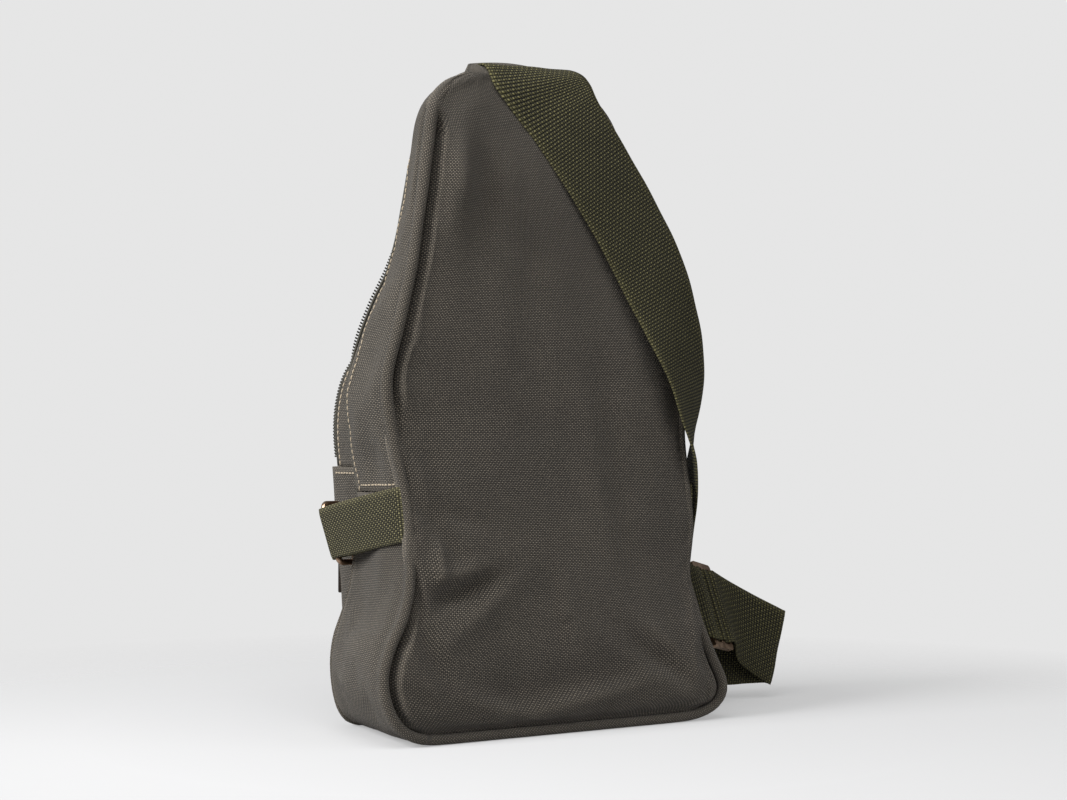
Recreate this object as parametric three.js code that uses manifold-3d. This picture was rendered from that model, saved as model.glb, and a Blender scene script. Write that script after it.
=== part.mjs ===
// A canvas sling backpack that stands on its base: teardrop back panel, side gusset, zipped front pocket,
// webbing strap with slider and hook, and a ring on a webbing tab at each side.
// Millimetres, +Z up, pockets towards -Y, back panel towards +Y, origin at the middle of the base.
import * as THREE from "three";
import { mergeVertices } from "three/addons/utils/BufferGeometryUtils.js";
import Module from "manifold-3d";

// Driving sizes of the bag body
const bodyHeight = 372;
const bodyWidth = 230;
const bodyDepth = 94;
const topCrown = 3;
const backCrown = 4;
const canvas = 1.8;
const seamGap = 0.5;
const pipingRadius = 2.9;
const rollRadius = 3.4;
const gussetSwell = 3;
const gussetSeamUp = 0.362;

// Driving sizes of the zips
const zipWidth = 10;
const zipTurn = 3;
const tape = 1.2;
const coilWidth = 5.6;
const coilHeight = 1.8;
const coilGap = 0.3;
const zipEndUp = 0.3;
const panelRebate = 0.2;

// Driving sizes of the front pocket
const pocketInset = 10.9;
const pocketHeight = 220;
const pocketFoot = 26;
const pocketDepth = 43;
const pocketCrown = 3;
const pocketSeamUp = 0.56;
const pocketSideUp = 0.1;
const faceZipLow = 0.335;
const faceZipHigh = 0.395;

// Driving sizes of the webbing and its metal
const strapWidth = 48;
const tabWidth = 30;
const webbing = 1.8;
const ringWire = 3.4;
const ringDepth = 10;
const webbingSlack = 2;
const frameBar = 3.5;
const frameThickness = 3;
const sliderSlot = 7;
const frameCorner = 2.4;
const hookEye = 12;

// Driving sizes of a zip slider and its pull
const sliderLength = 11;
const sliderBreadth = 8.5;
const sliderPlate = 1.6;
const bridgeWire = 1.6;
const bridgeBreadth = 2.2;
const bridgeWindow = 3.2;
const bridgeLength = 8.6;
const pullLength = 30;
const pullWidth = 5.6;
const pullThickness = 1.5;
const pullCorner = 1.1;
const facePullWidth = 3.4;
const eyeWire = 1.3;
const runningGap = 0.4;
const mainSliderUp = 0.8;
const pocketSliderUp = 0.66;
const faceSliderInset = 6;
const faceCoilInset = 2;

const halfWidth = bodyWidth / 2;
const Y = new THREE.Vector3(0, 1, 0);
const Z = new THREE.Vector3(0, 0, 1);
const v3 = (x, y, z) => new THREE.Vector3(x, y, z);

// Outline of the body seen from behind, base to top. up: share of bodyHeight. left, right: half widths as
// shares of half bodyWidth. back: the back seam's Y, side: the gusset's depth, both shares of bodyDepth.
// tuck: how much narrower the front seam is, a share of the half width. dip: how much lower it lies, a share
// of bodyHeight.
const bodyRows = [
  { up: 0.0, left: 0.78, right: 0.82, back: 0.485, side: 0.97, tuck: 0.13, dip: 0 },
  { up: 0.012, left: 0.88, right: 0.95, back: 0.49, side: 0.97, tuck: 0.14, dip: 0 },
  { up: 0.045, left: 0.965, right: 1.0, back: 0.495, side: 0.965, tuck: 0.155, dip: 0 },
  { up: 0.09, left: 1.0, right: 0.935, back: 0.495, side: 0.945, tuck: 0.155, dip: 0 },
  { up: 0.135, left: 0.96, right: 0.87, back: 0.48, side: 0.895, tuck: 0.12, dip: 0 },
  { up: 0.18, left: 0.875, right: 0.83, back: 0.455, side: 0.82, tuck: 0.065, dip: 0 },
  { up: 0.225, left: 0.83, right: 0.8, back: 0.43, side: 0.73, tuck: 0.03, dip: 0 },
  { up: 0.3, left: 0.81, right: 0.85, back: 0.39, side: 0.635, tuck: 0.02, dip: 0 },
  { up: 0.362, left: 0.825, right: 0.85, back: 0.355, side: 0.575, tuck: 0.02, dip: 0 },
  { up: 0.44, left: 0.865, right: 0.845, back: 0.31, side: 0.53, tuck: 0.02, dip: 0 },
  { up: 0.52, left: 0.885, right: 0.855, back: 0.275, side: 0.49, tuck: 0.02, dip: 0 },
  { up: 0.6, left: 0.81, right: 0.8, back: 0.245, side: 0.44, tuck: 0.02, dip: 0 },
  { up: 0.65, left: 0.758, right: 0.755, back: 0.222, side: 0.39, tuck: 0.03, dip: 0 },
  { up: 0.7, left: 0.71, right: 0.71, back: 0.2, side: 0.32, tuck: 0.05, dip: 0 },
  { up: 0.8, left: 0.64, right: 0.64, back: 0.16, side: 0.285, tuck: 0.06, dip: 0 },
  { up: 0.88, left: 0.585, right: 0.585, back: 0.12, side: 0.26, tuck: 0.07, dip: 0.002 },
  { up: 0.945, left: 0.525, right: 0.52, back: 0.075, side: 0.225, tuck: 0.08, dip: 0.01 },
  { up: 0.98, left: 0.42, right: 0.42, back: 0.045, side: 0.2, tuck: 0.09, dip: 0.022 },
  { up: 1.0, left: 0.27, right: 0.27, back: 0.02, side: 0.18, tuck: 0.1, dip: 0.028 },
];

// The pocket's side stands in from the bag's side at the gusset seam by pocketInset.
const halfPocket = halfWidth * column(bodyRows, "left", gussetSeamUp) - pocketInset;

// Outline of the front pocket, base to top. up: share of pocketHeight. wide: share of the pocket's half width.
// deep: how far its face stands before the bag's front, a share of pocketDepth.
const pocketRows = [
  { up: 0.0, wide: 0.8, deep: 0.12 },
  { up: 0.03, wide: 0.91, deep: 0.14 },
  { up: 0.1, wide: 0.985, deep: 0.23 },
  { up: 0.2, wide: 1.0, deep: 0.46 },
  { up: 0.335, wide: 1.0, deep: 0.78 },
  { up: 0.395, wide: 1.0, deep: 0.88 },
  { up: 0.48, wide: 1.0, deep: 0.97 },
  { up: 0.56, wide: 1.01, deep: 1.0 },
  { up: 0.66, wide: 1.03, deep: 1.0 },
  { up: 0.74, wide: 1.01, deep: 1.0 },
  { up: 0.81, wide: 0.955, deep: 0.98 },
  { up: 0.87, wide: 0.85, deep: 0.93 },
  { up: 0.92, wide: 0.7, deep: 0.88 },
  { up: 0.96, wide: 0.54, deep: 0.83 },
  { up: 0.988, wide: 0.34, deep: 0.79 },
  { up: 1.0, wide: 0.18, deep: 0.77 },
];

// Route of the shoulder strap from the top seam to the buckle. across: share of half bodyWidth,
// out: share of bodyDepth, up: share of bodyHeight. w: direction from the strap's left edge to its right.
// spread: strap width as a share of strapWidth where it crosses the top at an angle.
const strapRows = [
  { across: 0.035, out: -0.15, up: 1.001, w: [-1, 0, 0.0], spread: 1.2 },
  { across: 0.01, out: -0.06, up: 1.0175, w: [-1, -0.06, 0.02], spread: 1.2 },
  { across: -0.03, out: 0.032, up: 1.0245, w: [-1, -0.05, 0.06], spread: 1.2 },
  { across: -0.06, out: 0.126, up: 1.002, w: [-0.94, 0.08, 0.2], spread: 1.2 },
  { across: -0.13, out: 0.165, up: 0.972, w: [-0.87, 0.12, 0.4], spread: 1.1 },
  { across: -0.205, out: 0.2, up: 0.935, w: [-0.82, 0.12, 0.55], spread: 1 },
  { across: -0.36, out: 0.25, up: 0.863, w: [-0.83, 0.06, 0.56], spread: 1 },
  { across: -0.535, out: 0.285, up: 0.78, w: [-0.85, 0.04, 0.53], spread: 1 },
  { across: -0.683, out: 0.32, up: 0.694, w: [-0.89, 0, 0.45], spread: 1 },
  { across: -0.815, out: 0.35, up: 0.597, w: [-0.86, -0.27, 0.34], spread: 1 },
  { across: -0.885, out: 0.335, up: 0.538, w: [-0.84, -0.46, 0.21], spread: 1 },
  { across: -0.918, out: 0.305, up: 0.4825, w: [-0.77, -0.63, 0.1], spread: 1 },
  { across: -0.965, out: 0.25, up: 0.411, w: [-0.54, -0.84, 0.04], spread: 1 },
  { across: -1.025, out: 0.116, up: 0.336, w: [-0.45, -0.88, 0.05], spread: 1 },
  { across: -1.05, out: 0.0, up: 0.269, w: [-0.4, -0.86, 0.3], spread: 1 },
  { across: -1.1, out: -0.07, up: 0.215, w: [-0.28, -0.62, 0.72], spread: 1 },
  { across: -1.15, out: -0.045, up: 0.187, w: [-0.08, -0.42, 0.9], spread: 1 },
];

// Route of the strap's return from the crease to the hook, with the same columns.
const returnRows = [
  { across: -1.66, out: -0.195, up: 0.089, w: [-0.18, 0, 0.98] },
  { across: -1.53, out: -0.22, up: 0.089, w: [-0.06, 0.05, 0.99] },
  { across: -1.37, out: -0.275, up: 0.092, w: [0.1, 0.15, 0.98] },
  { across: -1.23, out: -0.34, up: 0.103, w: [0.25, 0.5, 0.82] },
  { across: -1.09, out: -0.4, up: 0.123, w: [0.26, 0.86, 0.42] },
  { across: -1.005, out: -0.435, up: 0.15, w: [0.14, 0.98, 0.12] },
];

// Routes of a tab's outer and inner layer, from the back seam to the fold and back. along: share of
// the way from the seam to the fold. off: distance of the layer from the bag's side, a share of tabStand. w: direction from its top
// edge to its bottom edge.
const tabRows = [
  { along: 0.0, off: 0.36, w: [-0.08, 0.06, -1] },
  { along: 0.2, off: 0.62, w: [-0.04, 0.08, -1] },
  { along: 0.45, off: 0.81, w: [-0.03, 0.14, -0.98] },
  { along: 0.7, off: 0.945, w: [-0.06, 0.25, -0.96] },
  { along: 0.9, off: 1.0, w: [-0.09, 0.34, -0.93] },
];
const tabInnerRows = [
  { along: 0.9, off: 0.48, w: [-0.09, 0.34, -0.93] },
  { along: 0.68, off: 0.5, w: [-0.06, 0.25, -0.96] },
  { along: 0.42, off: 0.53, w: [-0.03, 0.14, -0.98] },
];
const tabStand = 11.1;
const tabForward = 14.6;
const tabDroop = 12;
const tabUp = 0.332;
const tabTuck = 0.66;
const tabFoldLine = [-0.1, 0.37, -0.92];

// Places of the hard pieces on the strap, with the strap table's columns
const sliderPlace = { across: -1.319, out: -0.096, up: 0.164 };
const sliderUpright = v3(0, -0.43, 0.9).normalize();
const sliderRun = v3(-0.897, -0.399, -0.19).normalize();
const loopPlace = { across: -1.565, out: -0.155, up: 0.127 };
const creasePlace = { across: -1.779, out: -0.128, up: 0.0887 };
const creaseLine = v3(-0.24, 0, 0.97).normalize();
const creaseRadius = 2.4;
const hookLine = v3(0.06, 1, 0).normalize();
const strapTail = 16;

// Numbers of steps along round stretches
const panelColumns = 12;
const topSteps = 4;
const baseSteps = 6;
const foldSteps = 6;
const tubeSides = 8;

// Value of one column of a table at a given height share, smooth between its rows.
function column(rows, name, up) {
  let i = 0;
  while (i < rows.length - 2 && rows[i + 1].up < up) i += 1;
  const a = rows[i];
  const b = rows[i + 1];
  const t = (up - a.up) / (b.up - a.up);
  const before = rows[Math.max(i - 1, 0)];
  const after = rows[Math.min(i + 2, rows.length - 1)];
  const slopeA = (b[name] - before[name]) / (b.up - before.up);
  const slopeB = (after[name] - a[name]) / (after.up - a.up);
  const span = b.up - a.up;
  const h00 = 2 * t ** 3 - 3 * t ** 2 + 1;
  const h10 = t ** 3 - 2 * t ** 2 + t;
  const h01 = -2 * t ** 3 + 3 * t ** 2;
  const h11 = t ** 3 - t ** 2;
  return h00 * a[name] + h10 * span * slopeA + h01 * b[name] + h11 * span * slopeB;
}

// Point of the back seam: side is +1 at the left of the picture, -1 at the right.
function backSeam(side, up, foot) {
  const wide = column(bodyRows, side > 0 ? "left" : "right", up);
  return v3(side * halfWidth * wide, bodyDepth * column(bodyRows, "back", up), foot + (bodyHeight - foot) * up);
}

// Point of the front seam that belongs to the same height share.
function frontSeam(side, up, foot) {
  const p = backSeam(side, up, foot);
  p.x *= 1 - column(bodyRows, "tuck", up);
  p.y -= bodyDepth * column(bodyRows, "side", up);
  p.z -= bodyHeight * column(bodyRows, "dip", up);
  return p;
}

function pocketEdge(side, up) {
  const z = pocketFoot + pocketHeight * up;
  return v3(side * halfPocket * column(pocketRows, "wide", up), frontY(z) - pocketDepth * column(pocketRows, "deep", up), z);
}

// The bag's front is flat from side to side: its Y at a height, and the outer face of its panel.
function frontY(z) {
  return frontSeam(1, Math.min(Math.max(z / bodyHeight, 0), 1), 0).y - zipTurn;
}

function frontFace(z) {
  const turned = z < zipEndUp * bodyHeight - seamGap ? panelRebate - zipTurn : 0;
  return frontY(z) - canvas - seamGap - turned;
}

// A closed or open run of stations round an outline: up the left side, over the top, down the right side
// and, when it is closed, back along the base. Each station has its point and the outline's outward normal.
function outline(edge, ups, options = {}) {
  const { crown = 0, closed = true } = options;
  const points = ups.map((up) => edge(1, up));
  const last = ups[ups.length - 1];
  const topLeft = edge(1, last);
  const topRight = edge(-1, last);
  for (let k = 1; k < topSteps; k += 1) {
    const t = k / topSteps;
    const p = topLeft.clone().lerp(topRight, t);
    p.z += crown * 4 * t * (1 - t);
    points.push(p);
  }
  for (const up of [...ups].reverse()) points.push(edge(-1, up));
  if (closed) {
    const right = edge(-1, ups[0]);
    const left = edge(1, ups[0]);
    for (let k = 1; k < baseSteps; k += 1) points.push(right.clone().lerp(left, k / baseSteps));
  }
  return withNormals(points, closed);
}

function withNormals(points, closed) {
  const n = points.length;
  return points.map((p, i) => {
    const before = closed ? points[(i + n - 1) % n] : points[Math.max(i - 1, 0)];
    const after = closed ? points[(i + 1) % n] : points[Math.min(i + 1, n - 1)];
    const along = after.clone().sub(before).setY(0).normalize();
    return { p, n: v3(along.z, 0, -along.x), along };
  });
}

// A solid sheet of even thickness about a grid of points.
function sheet(grid, thickness, closedRows = false) {
  const rows = grid.length;
  const cols = grid[0].length;
  const clampRow = (i) => (closedRows ? (i + rows) % rows : Math.min(Math.max(i, 0), rows - 1));
  const outer = [];
  const inner = [];
  for (let i = 0; i < rows; i += 1) {
    for (let j = 0; j < cols; j += 1) {
      const along = grid[clampRow(i + 1)][j].clone().sub(grid[clampRow(i - 1)][j]);
      const across = grid[i][Math.min(j + 1, cols - 1)].clone().sub(grid[i][Math.max(j - 1, 0)]);
      const normal = along.cross(across).normalize().multiplyScalar(thickness / 2);
      outer.push(grid[i][j].clone().add(normal));
      inner.push(grid[i][j].clone().sub(normal));
    }
  }
  const positions = [...outer, ...inner];
  const at = (side, i, j) => side * rows * cols + (i % rows) * cols + j;
  const faces = [];
  const quad = (a, b, c, d) => faces.push(a, b, c, a, c, d);
  const lastRow = closedRows ? rows : rows - 1;
  for (let i = 0; i < lastRow; i += 1) {
    for (let j = 0; j < cols - 1; j += 1) {
      quad(at(0, i, j), at(0, i + 1, j), at(0, i + 1, j + 1), at(0, i, j + 1));
      quad(at(1, i, j), at(1, i, j + 1), at(1, i + 1, j + 1), at(1, i + 1, j));
    }
    quad(at(0, i, 0), at(1, i, 0), at(1, i + 1, 0), at(0, i + 1, 0));
    quad(at(0, i, cols - 1), at(0, i + 1, cols - 1), at(1, i + 1, cols - 1), at(1, i, cols - 1));
  }
  if (!closedRows) {
    for (let j = 0; j < cols - 1; j += 1) {
      quad(at(0, 0, j), at(0, 0, j + 1), at(1, 0, j + 1), at(1, 0, j));
      quad(at(0, rows - 1, j), at(1, rows - 1, j), at(1, rows - 1, j + 1), at(0, rows - 1, j + 1));
    }
  }
  return bufferOf(positions, faces);
}

// A tube of round section along stations with a centre and two axes across it.
function tube(stations, sides, closed) {
  const positions = [];
  const faces = [];
  const n = stations.length;
  for (const { p, a, b, r } of stations) {
    for (let k = 0; k < sides; k += 1) {
      const angle = (2 * Math.PI * k) / sides;
      positions.push(p.clone().addScaledVector(a, r * Math.cos(angle)).addScaledVector(b, r * Math.sin(angle)));
    }
  }
  const at = (i, k) => (i % n) * sides + (k % sides);
  for (let i = 0; i < (closed ? n : n - 1); i += 1) {
    for (let k = 0; k < sides; k += 1) {
      faces.push(at(i, k), at(i + 1, k), at(i + 1, k + 1), at(i, k), at(i + 1, k + 1), at(i, k + 1));
    }
  }
  if (!closed) {
    for (let k = 1; k < sides - 1; k += 1) {
      faces.push(at(0, 0), at(0, k), at(0, k + 1), at(n - 1, 0), at(n - 1, k + 1), at(n - 1, k));
    }
  }
  return bufferOf(positions, faces);
}

// A geometry from points and faces, turned so that its faces point outwards.
function bufferOf(positions, faces) {
  let volume = 0;
  for (let i = 0; i < faces.length; i += 3) {
    const [a, b, c] = [positions[faces[i]], positions[faces[i + 1]], positions[faces[i + 2]]];
    volume += a.dot(b.clone().cross(c));
  }
  const index = volume > 0 ? faces : faces.slice().reverse();
  const geometry = new THREE.BufferGeometry();
  geometry.setAttribute("position", new THREE.Float32BufferAttribute(positions.flatMap((p) => p.toArray()), 3));
  geometry.setIndex(index);
  return geometry;
}

// Joining and cutting of closed geometries
const wasm = await Module();
wasm.setup();

function solidOf(geometry) {
  const bare = geometry.clone();
  bare.deleteAttribute("normal");
  bare.deleteAttribute("uv");
  const merged = mergeVertices(bare.index ? bare.toNonIndexed() : bare, 1e-4);
  return new wasm.Manifold(
    new wasm.Mesh({
      numProp: 3,
      vertProperties: new Float32Array(merged.attributes.position.array),
      triVerts: new Uint32Array(merged.index.array),
    }),
  );
}

function geometryOf(solid) {
  const mesh = solid.getMesh();
  const geometry = new THREE.BufferGeometry();
  geometry.setAttribute("position", new THREE.Float32BufferAttribute(mesh.vertProperties, 3));
  geometry.setIndex([...mesh.triVerts]);
  return geometry;
}

const joined = (...parts) => geometryOf(parts.map(solidOf).reduce((a, b) => a.add(b)));

// Materials
const finish = (color, roughness, metalness) => new THREE.MeshStandardMaterial({ color, roughness, metalness });
const canvasCloth = finish(0x5b564d, 0.9, 0);
const webbingCloth = finish(0x4a4a35, 0.85, 0);
const zipTape = finish(0x35342e, 0.9, 0);
const zipCoil = finish(0x3a3a33, 0.5, 0);
const agedBrass = finish(0x8a6a4c, 0.4, 0.9);
const darkMetal = finish(0x3b3530, 0.45, 0.9);

const bag = new THREE.Group();

function place(name, geometry, material, frame = null) {
  const mesh = new THREE.Mesh(geometry, material);
  mesh.name = name;
  if (frame) {
    mesh.position.copy(frame.origin);
    mesh.quaternion.setFromRotationMatrix(new THREE.Matrix4().makeBasis(frame.x, frame.y, frame.z));
  }
  bag.add(mesh);
  return mesh;
}

const tableUps = bodyRows.map((row) => row.up);
const upsFrom = (ups, low, high) => [low, ...ups.filter((up) => up > low + 0.004 && up < high - 0.004), high];

// Radius of the covered cord or roll round the back panel: fuller above the tabs.
function seamRoll(z) {
  const share = THREE.MathUtils.smoothstep(z / bodyHeight, 0.36, 0.5);
  return pipingRadius + (rollRadius - pipingRadius) * share;
}

// Grid of rows from the left edge to the right edge of a panel, drawn in from its whole outline.
function panelGrid(edge, wholeUps, ups, inset, crown, swell) {
  const all = [...new Set([...wholeUps, ...ups])].sort((a, b) => a - b);
  const stations = outline(edge, all, { crown });
  const left = stations.slice(0, all.length);
  const right = stations.slice(all.length + topSteps - 1, 2 * all.length + topSteps - 1).reverse();
  return ups.map((up) => {
    const drawn = (s) => s.p.clone().addScaledVector(s.n, -inset(up, s.p.z));
    const a = drawn(left[all.indexOf(up)]);
    const b = drawn(right[all.indexOf(up)]);
    return Array.from({ length: panelColumns + 1 }, (_, j) => {
      const t = j / panelColumns;
      const p = a.clone().lerp(b, t);
      const round = 4 * t * (1 - t);
      if (up === 1) p.z += crown * round;
      p.y += swell * round * Math.sin(Math.PI * Math.min(up * 1.15, 1)) ** 0.5;
      return p;
    });
  });
}

const backEdge = (side, up) => backSeam(side, up, pipingRadius);
const gussetBack = (side, up) => backSeam(side, up, canvas / 2);
const gussetFront = (side, up) => frontSeam(side, up, canvas / 2);

function addBack() {
  const grid = panelGrid(backEdge, tableUps, tableUps, (up, z) => seamRoll(z) + seamGap, topCrown, backCrown);
  place("back_panel", sheet(grid, canvas), canvasCloth);
  const loop = outline(backEdge, tableUps, { crown: topCrown });
  const stations = loop.map(({ p, n }) => ({ p, a: n, b: Y, r: seamRoll(p.z) }));
  place("back_piping", tube(stations, tubeSides, true), canvasCloth);
}

// One stretch of the gusset between the back seam and the front seam.
function gussetGrid(backStations, frontStations, columns) {
  return backStations.map((back, i) => {
    const front = frontStations[i];
    const start = back.p.clone();
    start.y -= seamRoll(back.p.z) + seamGap;
    return Array.from({ length: columns + 1 }, (_, j) => {
      const t = j / columns;
      const flat = Math.max(0, 1 + back.n.z * 1.4);
      const p = start.clone().lerp(front.p, t);
      return p.addScaledVector(back.n, gussetSwell * Math.sin(Math.PI * t) * Math.min(flat, 1));
    });
  });
}

function addGusset() {
  const share = seamGap / bodyHeight;
  const upper = upsFrom(tableUps, gussetSeamUp + share / 2, 1);
  const over = { crown: topCrown, closed: false };
  const grid = gussetGrid(outline(gussetBack, upper, over), outline(gussetFront, upper, over), 4);
  place("gusset_upper", sheet(grid, canvas), canvasCloth);
  const lower = upsFrom(tableUps, 0, gussetSeamUp - share / 2).reverse();
  const round = (edge) => {
    const left = lower.map((up) => edge(1, up));
    const right = [...lower].reverse().map((up) => edge(-1, up));
    const [a, b] = [left[left.length - 1], right[0]];
    const base = Array.from({ length: baseSteps - 1 }, (_, k) => a.clone().lerp(b, (k + 1) / baseSteps));
    const points = [...left, ...base, ...right];
    return withNormals(points, false).map((s) => ({ ...s, n: s.n.negate() }));
  };
  place("gusset_base", sheet(gussetGrid(round(gussetBack), round(gussetFront), 4), canvas), canvasCloth);
}

// A zip round an arch: a tape that turns from the side on to the front, and the coil on its middle.
// stations: the seam that it hangs on, with outward normals. reach: how far the tape goes inwards.
function zipAt(station, reach, turn, t) {
  const p = station.p.clone().addScaledVector(station.n, 0.4 - reach * t);
  p.y -= tape / 2 + seamGap + turn * t;
  return p;
}

function addZip(name, stations, reach, turn) {
  const grid = stations.map((s) => [0, 0.5, 1].map((t) => zipAt(s, reach, turn, t)));
  place(name + "_tape", sheet(grid, tape), zipTape);
  const lift = tape / 2 + coilGap + coilHeight / 2;
  const coilGrid = stations.slice(1, -1).map((s, i) => coilRow(stations, i + 1, reach, turn, lift));
  place(name + "_coil", sheet(coilGrid, coilHeight), zipCoil);
}

// The zip's middle at a station: its point, the direction across the tape and the outward normal.
function zipMiddle(stations, i, reach, turn) {
  const across = zipAt(stations[i], reach, turn, 1).sub(zipAt(stations[i], reach, turn, 0)).normalize();
  const along = zipAt(stations[i + 1], reach, turn, 0.5).sub(zipAt(stations[i - 1], reach, turn, 0.5)).normalize();
  const out = across.clone().cross(along).normalize();
  if (out.y > 0) out.negate();
  return { p: zipAt(stations[i], reach, turn, 0.5), across, along, out };
}

// The coil's row at a station, lifted off the tape.
function coilRow(stations, i, reach, turn, lift) {
  const { p, across, out } = zipMiddle(stations, i, reach, turn);
  p.addScaledVector(out, lift);
  return [p.clone().addScaledVector(across, -coilWidth / 2), p.clone().addScaledVector(across, coilWidth / 2)];
}

function addMainZip() {
  const ups = upsFrom(tableUps, zipEndUp, 1);
  const stations = outline(gussetFront, ups, { crown: topCrown, closed: false });
  addZip("main_zip", stations, zipWidth, zipTurn);
  const step = (2 * seamGap) / bodyHeight;
  const panelUps = [...tableUps.filter((up) => up < zipEndUp - 2 * step), zipEndUp - step, ...ups];
  const inset = (up) => (up < zipEndUp ? panelRebate : zipWidth + seamGap);
  const grid = panelGrid(gussetFront, tableUps, panelUps, inset, topCrown, 0);
  grid.forEach((row, i) => {
    row.forEach((p) => {
      p.y -= canvas / 2 + seamGap + (panelUps[i] < zipEndUp ? panelRebate : zipTurn);
      p.z = Math.max(p.z, canvas / 2 + seamGap);
    });
  });
  place("front_panel", sheet(grid, canvas), canvasCloth);
}

const pocketUps = pocketRows.map((row) => row.up);
const pocketZipReach = 6;
const pocketZipSide = 9;

// The pocket's side runs from the bag's front to its face, less what the zip takes.
function pocketSide(stations, stop) {
  return stations.map((s) => {
    const start = s.p.clone().setY(frontFace(s.p.z) - seamGap);
    const end = s.p.clone().setY(s.p.y + stop);
    return [start, start.clone().lerp(end, 0.5), end];
  });
}

function addPocket() {
  const share = seamGap / pocketHeight;
  const archUps = upsFrom(pocketUps, pocketSeamUp + share / 2, 1);
  const arch = outline(pocketEdge, archUps, { crown: 1, closed: false });
  place("pocket_top_band", sheet(pocketSide(arch, pocketZipSide + seamGap), canvas), canvasCloth);
  const sideUps = upsFrom(pocketUps, pocketSideUp, pocketSeamUp - share / 2);
  for (const side of [1, -1]) {
    const points = sideUps.map((up) => pocketEdge(side, up));
    const stations = withNormals(points, false).map((s) => ({ ...s, n: s.n.multiplyScalar(side) }));
    const name = side > 0 ? "pocket_side_left" : "pocket_side_right";
    place(name, sheet(pocketSide(stations, canvas / 2 + seamGap), canvas), canvasCloth);
  }
  const zipStations = arch.map((s) => ({ ...s, p: s.p.clone().setY(s.p.y + pocketZipSide) }));
  addZip("pocket_zip", zipStations, pocketZipReach, pocketZipSide - 1);
  addPocketFace(archUps);
}

const faceGrid = (ups, drawIn) => panelGrid(pocketEdge, pocketUps, ups, drawIn, 1, -pocketCrown);

// The pocket's face: one piece under the level zip, one above it.
function addPocketFace(archUps) {
  const step = (2 * seamGap) / pocketHeight;
  const inset = (up) => (up < pocketSeamUp ? 0.3 : pocketZipReach + seamGap * 1.6);
  const gap = (canvas / 2) / pocketHeight;
  const lowerUps = upsFrom(pocketUps, 0, faceZipLow - gap);
  const upperUps = [...upsFrom(pocketUps, faceZipHigh + gap, pocketSeamUp - step), ...archUps];
  place("pocket_face_lower", sheet(faceGrid(lowerUps, inset), canvas), canvasCloth);
  place("pocket_face_upper", sheet(faceGrid(upperUps, inset), canvas), canvasCloth);
  place("face_zip_tape", sheet(faceGrid([faceZipLow, faceZipHigh], inset), tape), zipTape);
  const middle = (faceZipLow + faceZipHigh) / 2;
  const half = coilWidth / 2 / pocketHeight;
  const coil = faceGrid([middle - half, middle + half], () => faceCoilInset);
  coil.flat().forEach((p) => p.setY(p.y - tape / 2 - coilGap - coilHeight / 2));
  place("face_zip_coil", sheet(coil, coilHeight), zipCoil);
}

const onBag = ({ across, out, up }) => v3(across * halfWidth, out * bodyDepth, up * bodyHeight);

// One row of a ribbon: its two edges and its middle.
function ribbonRow(centre, w, width) {
  const half = w.clone().normalize().multiplyScalar(width / 2);
  return [centre.clone().sub(half), centre.clone(), centre.clone().add(half)];
}

// Centres of a half turn from one side of a bar to the other, round its outward side.
function halfTurn(centre, side, outward, radius) {
  return Array.from({ length: foldSteps + 1 }, (_, k) => {
    const angle = (Math.PI * k) / foldSteps;
    const p = centre.clone().addScaledVector(side, radius * Math.cos(angle));
    return p.addScaledVector(outward, radius * Math.sin(angle));
  });
}

const squareTo = (rough, line) => rough.clone().addScaledVector(line, -rough.dot(line)).normalize();
const mirrored = (w, side) => v3(w[0] * side, w[1], w[2]).normalize();
const foldRadius = ringWire / 2 + webbing / 2 + coilGap;

// Where the ring's bar lies in the fold of a tab, and the directions there.
function tabFrame(side) {
  const seam = backSeam(side, tabUp, 0);
  const start = seam.clone();
  start.y -= pipingRadius * tabTuck;
  const line = mirrored(tabFoldLine, side);
  const tabReach = start.y - frontSeam(side, tabUp, 0).y + tabForward;
  const fold = start.clone().add(v3(side * (tabStand - foldRadius), -tabReach, -tabDroop));
  const out = squareTo(v3(side, 0, 0), line);
  return { start, line, fold, tabReach, out, ahead: squareTo(v3(0, -1, 0), line) };
}

function addTab(side, name) {
  const { start, line, fold, tabReach, out, ahead } = tabFrame(side);
  const layer = (rows) =>
    rows.map(({ along, off, w }) => {
      const p = start.clone().add(v3(side * tabStand * off, -tabReach * along, -tabDroop * along));
      return ribbonRow(p, mirrored(w, side), tabWidth);
    });
  const turn = halfTurn(fold, out, ahead, foldRadius).map((p) => ribbonRow(p, line, tabWidth));
  place(name, sheet([...layer(tabRows), ...turn, ...layer(tabInnerRows)], webbing), webbingCloth);
}

// A ring of round wire with straight sides: its bar lies in the fold, its body points along reach.
function addRing(side, name, roughReach) {
  const { line, fold } = tabFrame(side);
  const reach = squareTo(roughReach, line);
  const half = (tabWidth + webbingSlack + ringWire) / 2;
  const deep = ringDepth + ringWire;
  const corner = ringWire * 0.85;
  const normal = line.clone().cross(reach).normalize();
  const centre = fold.clone().addScaledVector(reach, deep / 2);
  const stations = [];
  for (const [a, b, from] of [[1, 1, 0], [-1, 1, 1], [-1, -1, 2], [1, -1, 3]]) {
    for (let k = 0; k <= 3; k += 1) {
      const angle = (Math.PI / 2) * (from + k / 3);
      const turnedTo = v3(Math.cos(angle), Math.sin(angle), 0);
      const radial = line.clone().multiplyScalar(turnedTo.x).addScaledVector(reach, turnedTo.y);
      const p = centre.clone().addScaledVector(line, a * (half - corner)).addScaledVector(reach, b * (deep / 2 - corner));
      stations.push({ p: p.addScaledVector(radial, corner), a: radial, b: normal, r: ringWire / 2 });
    }
  }
  place(name, tube(stations, tubeSides, true), agedBrass);
  return { reach, arm: centre.clone().addScaledVector(line, half) };
}

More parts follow.
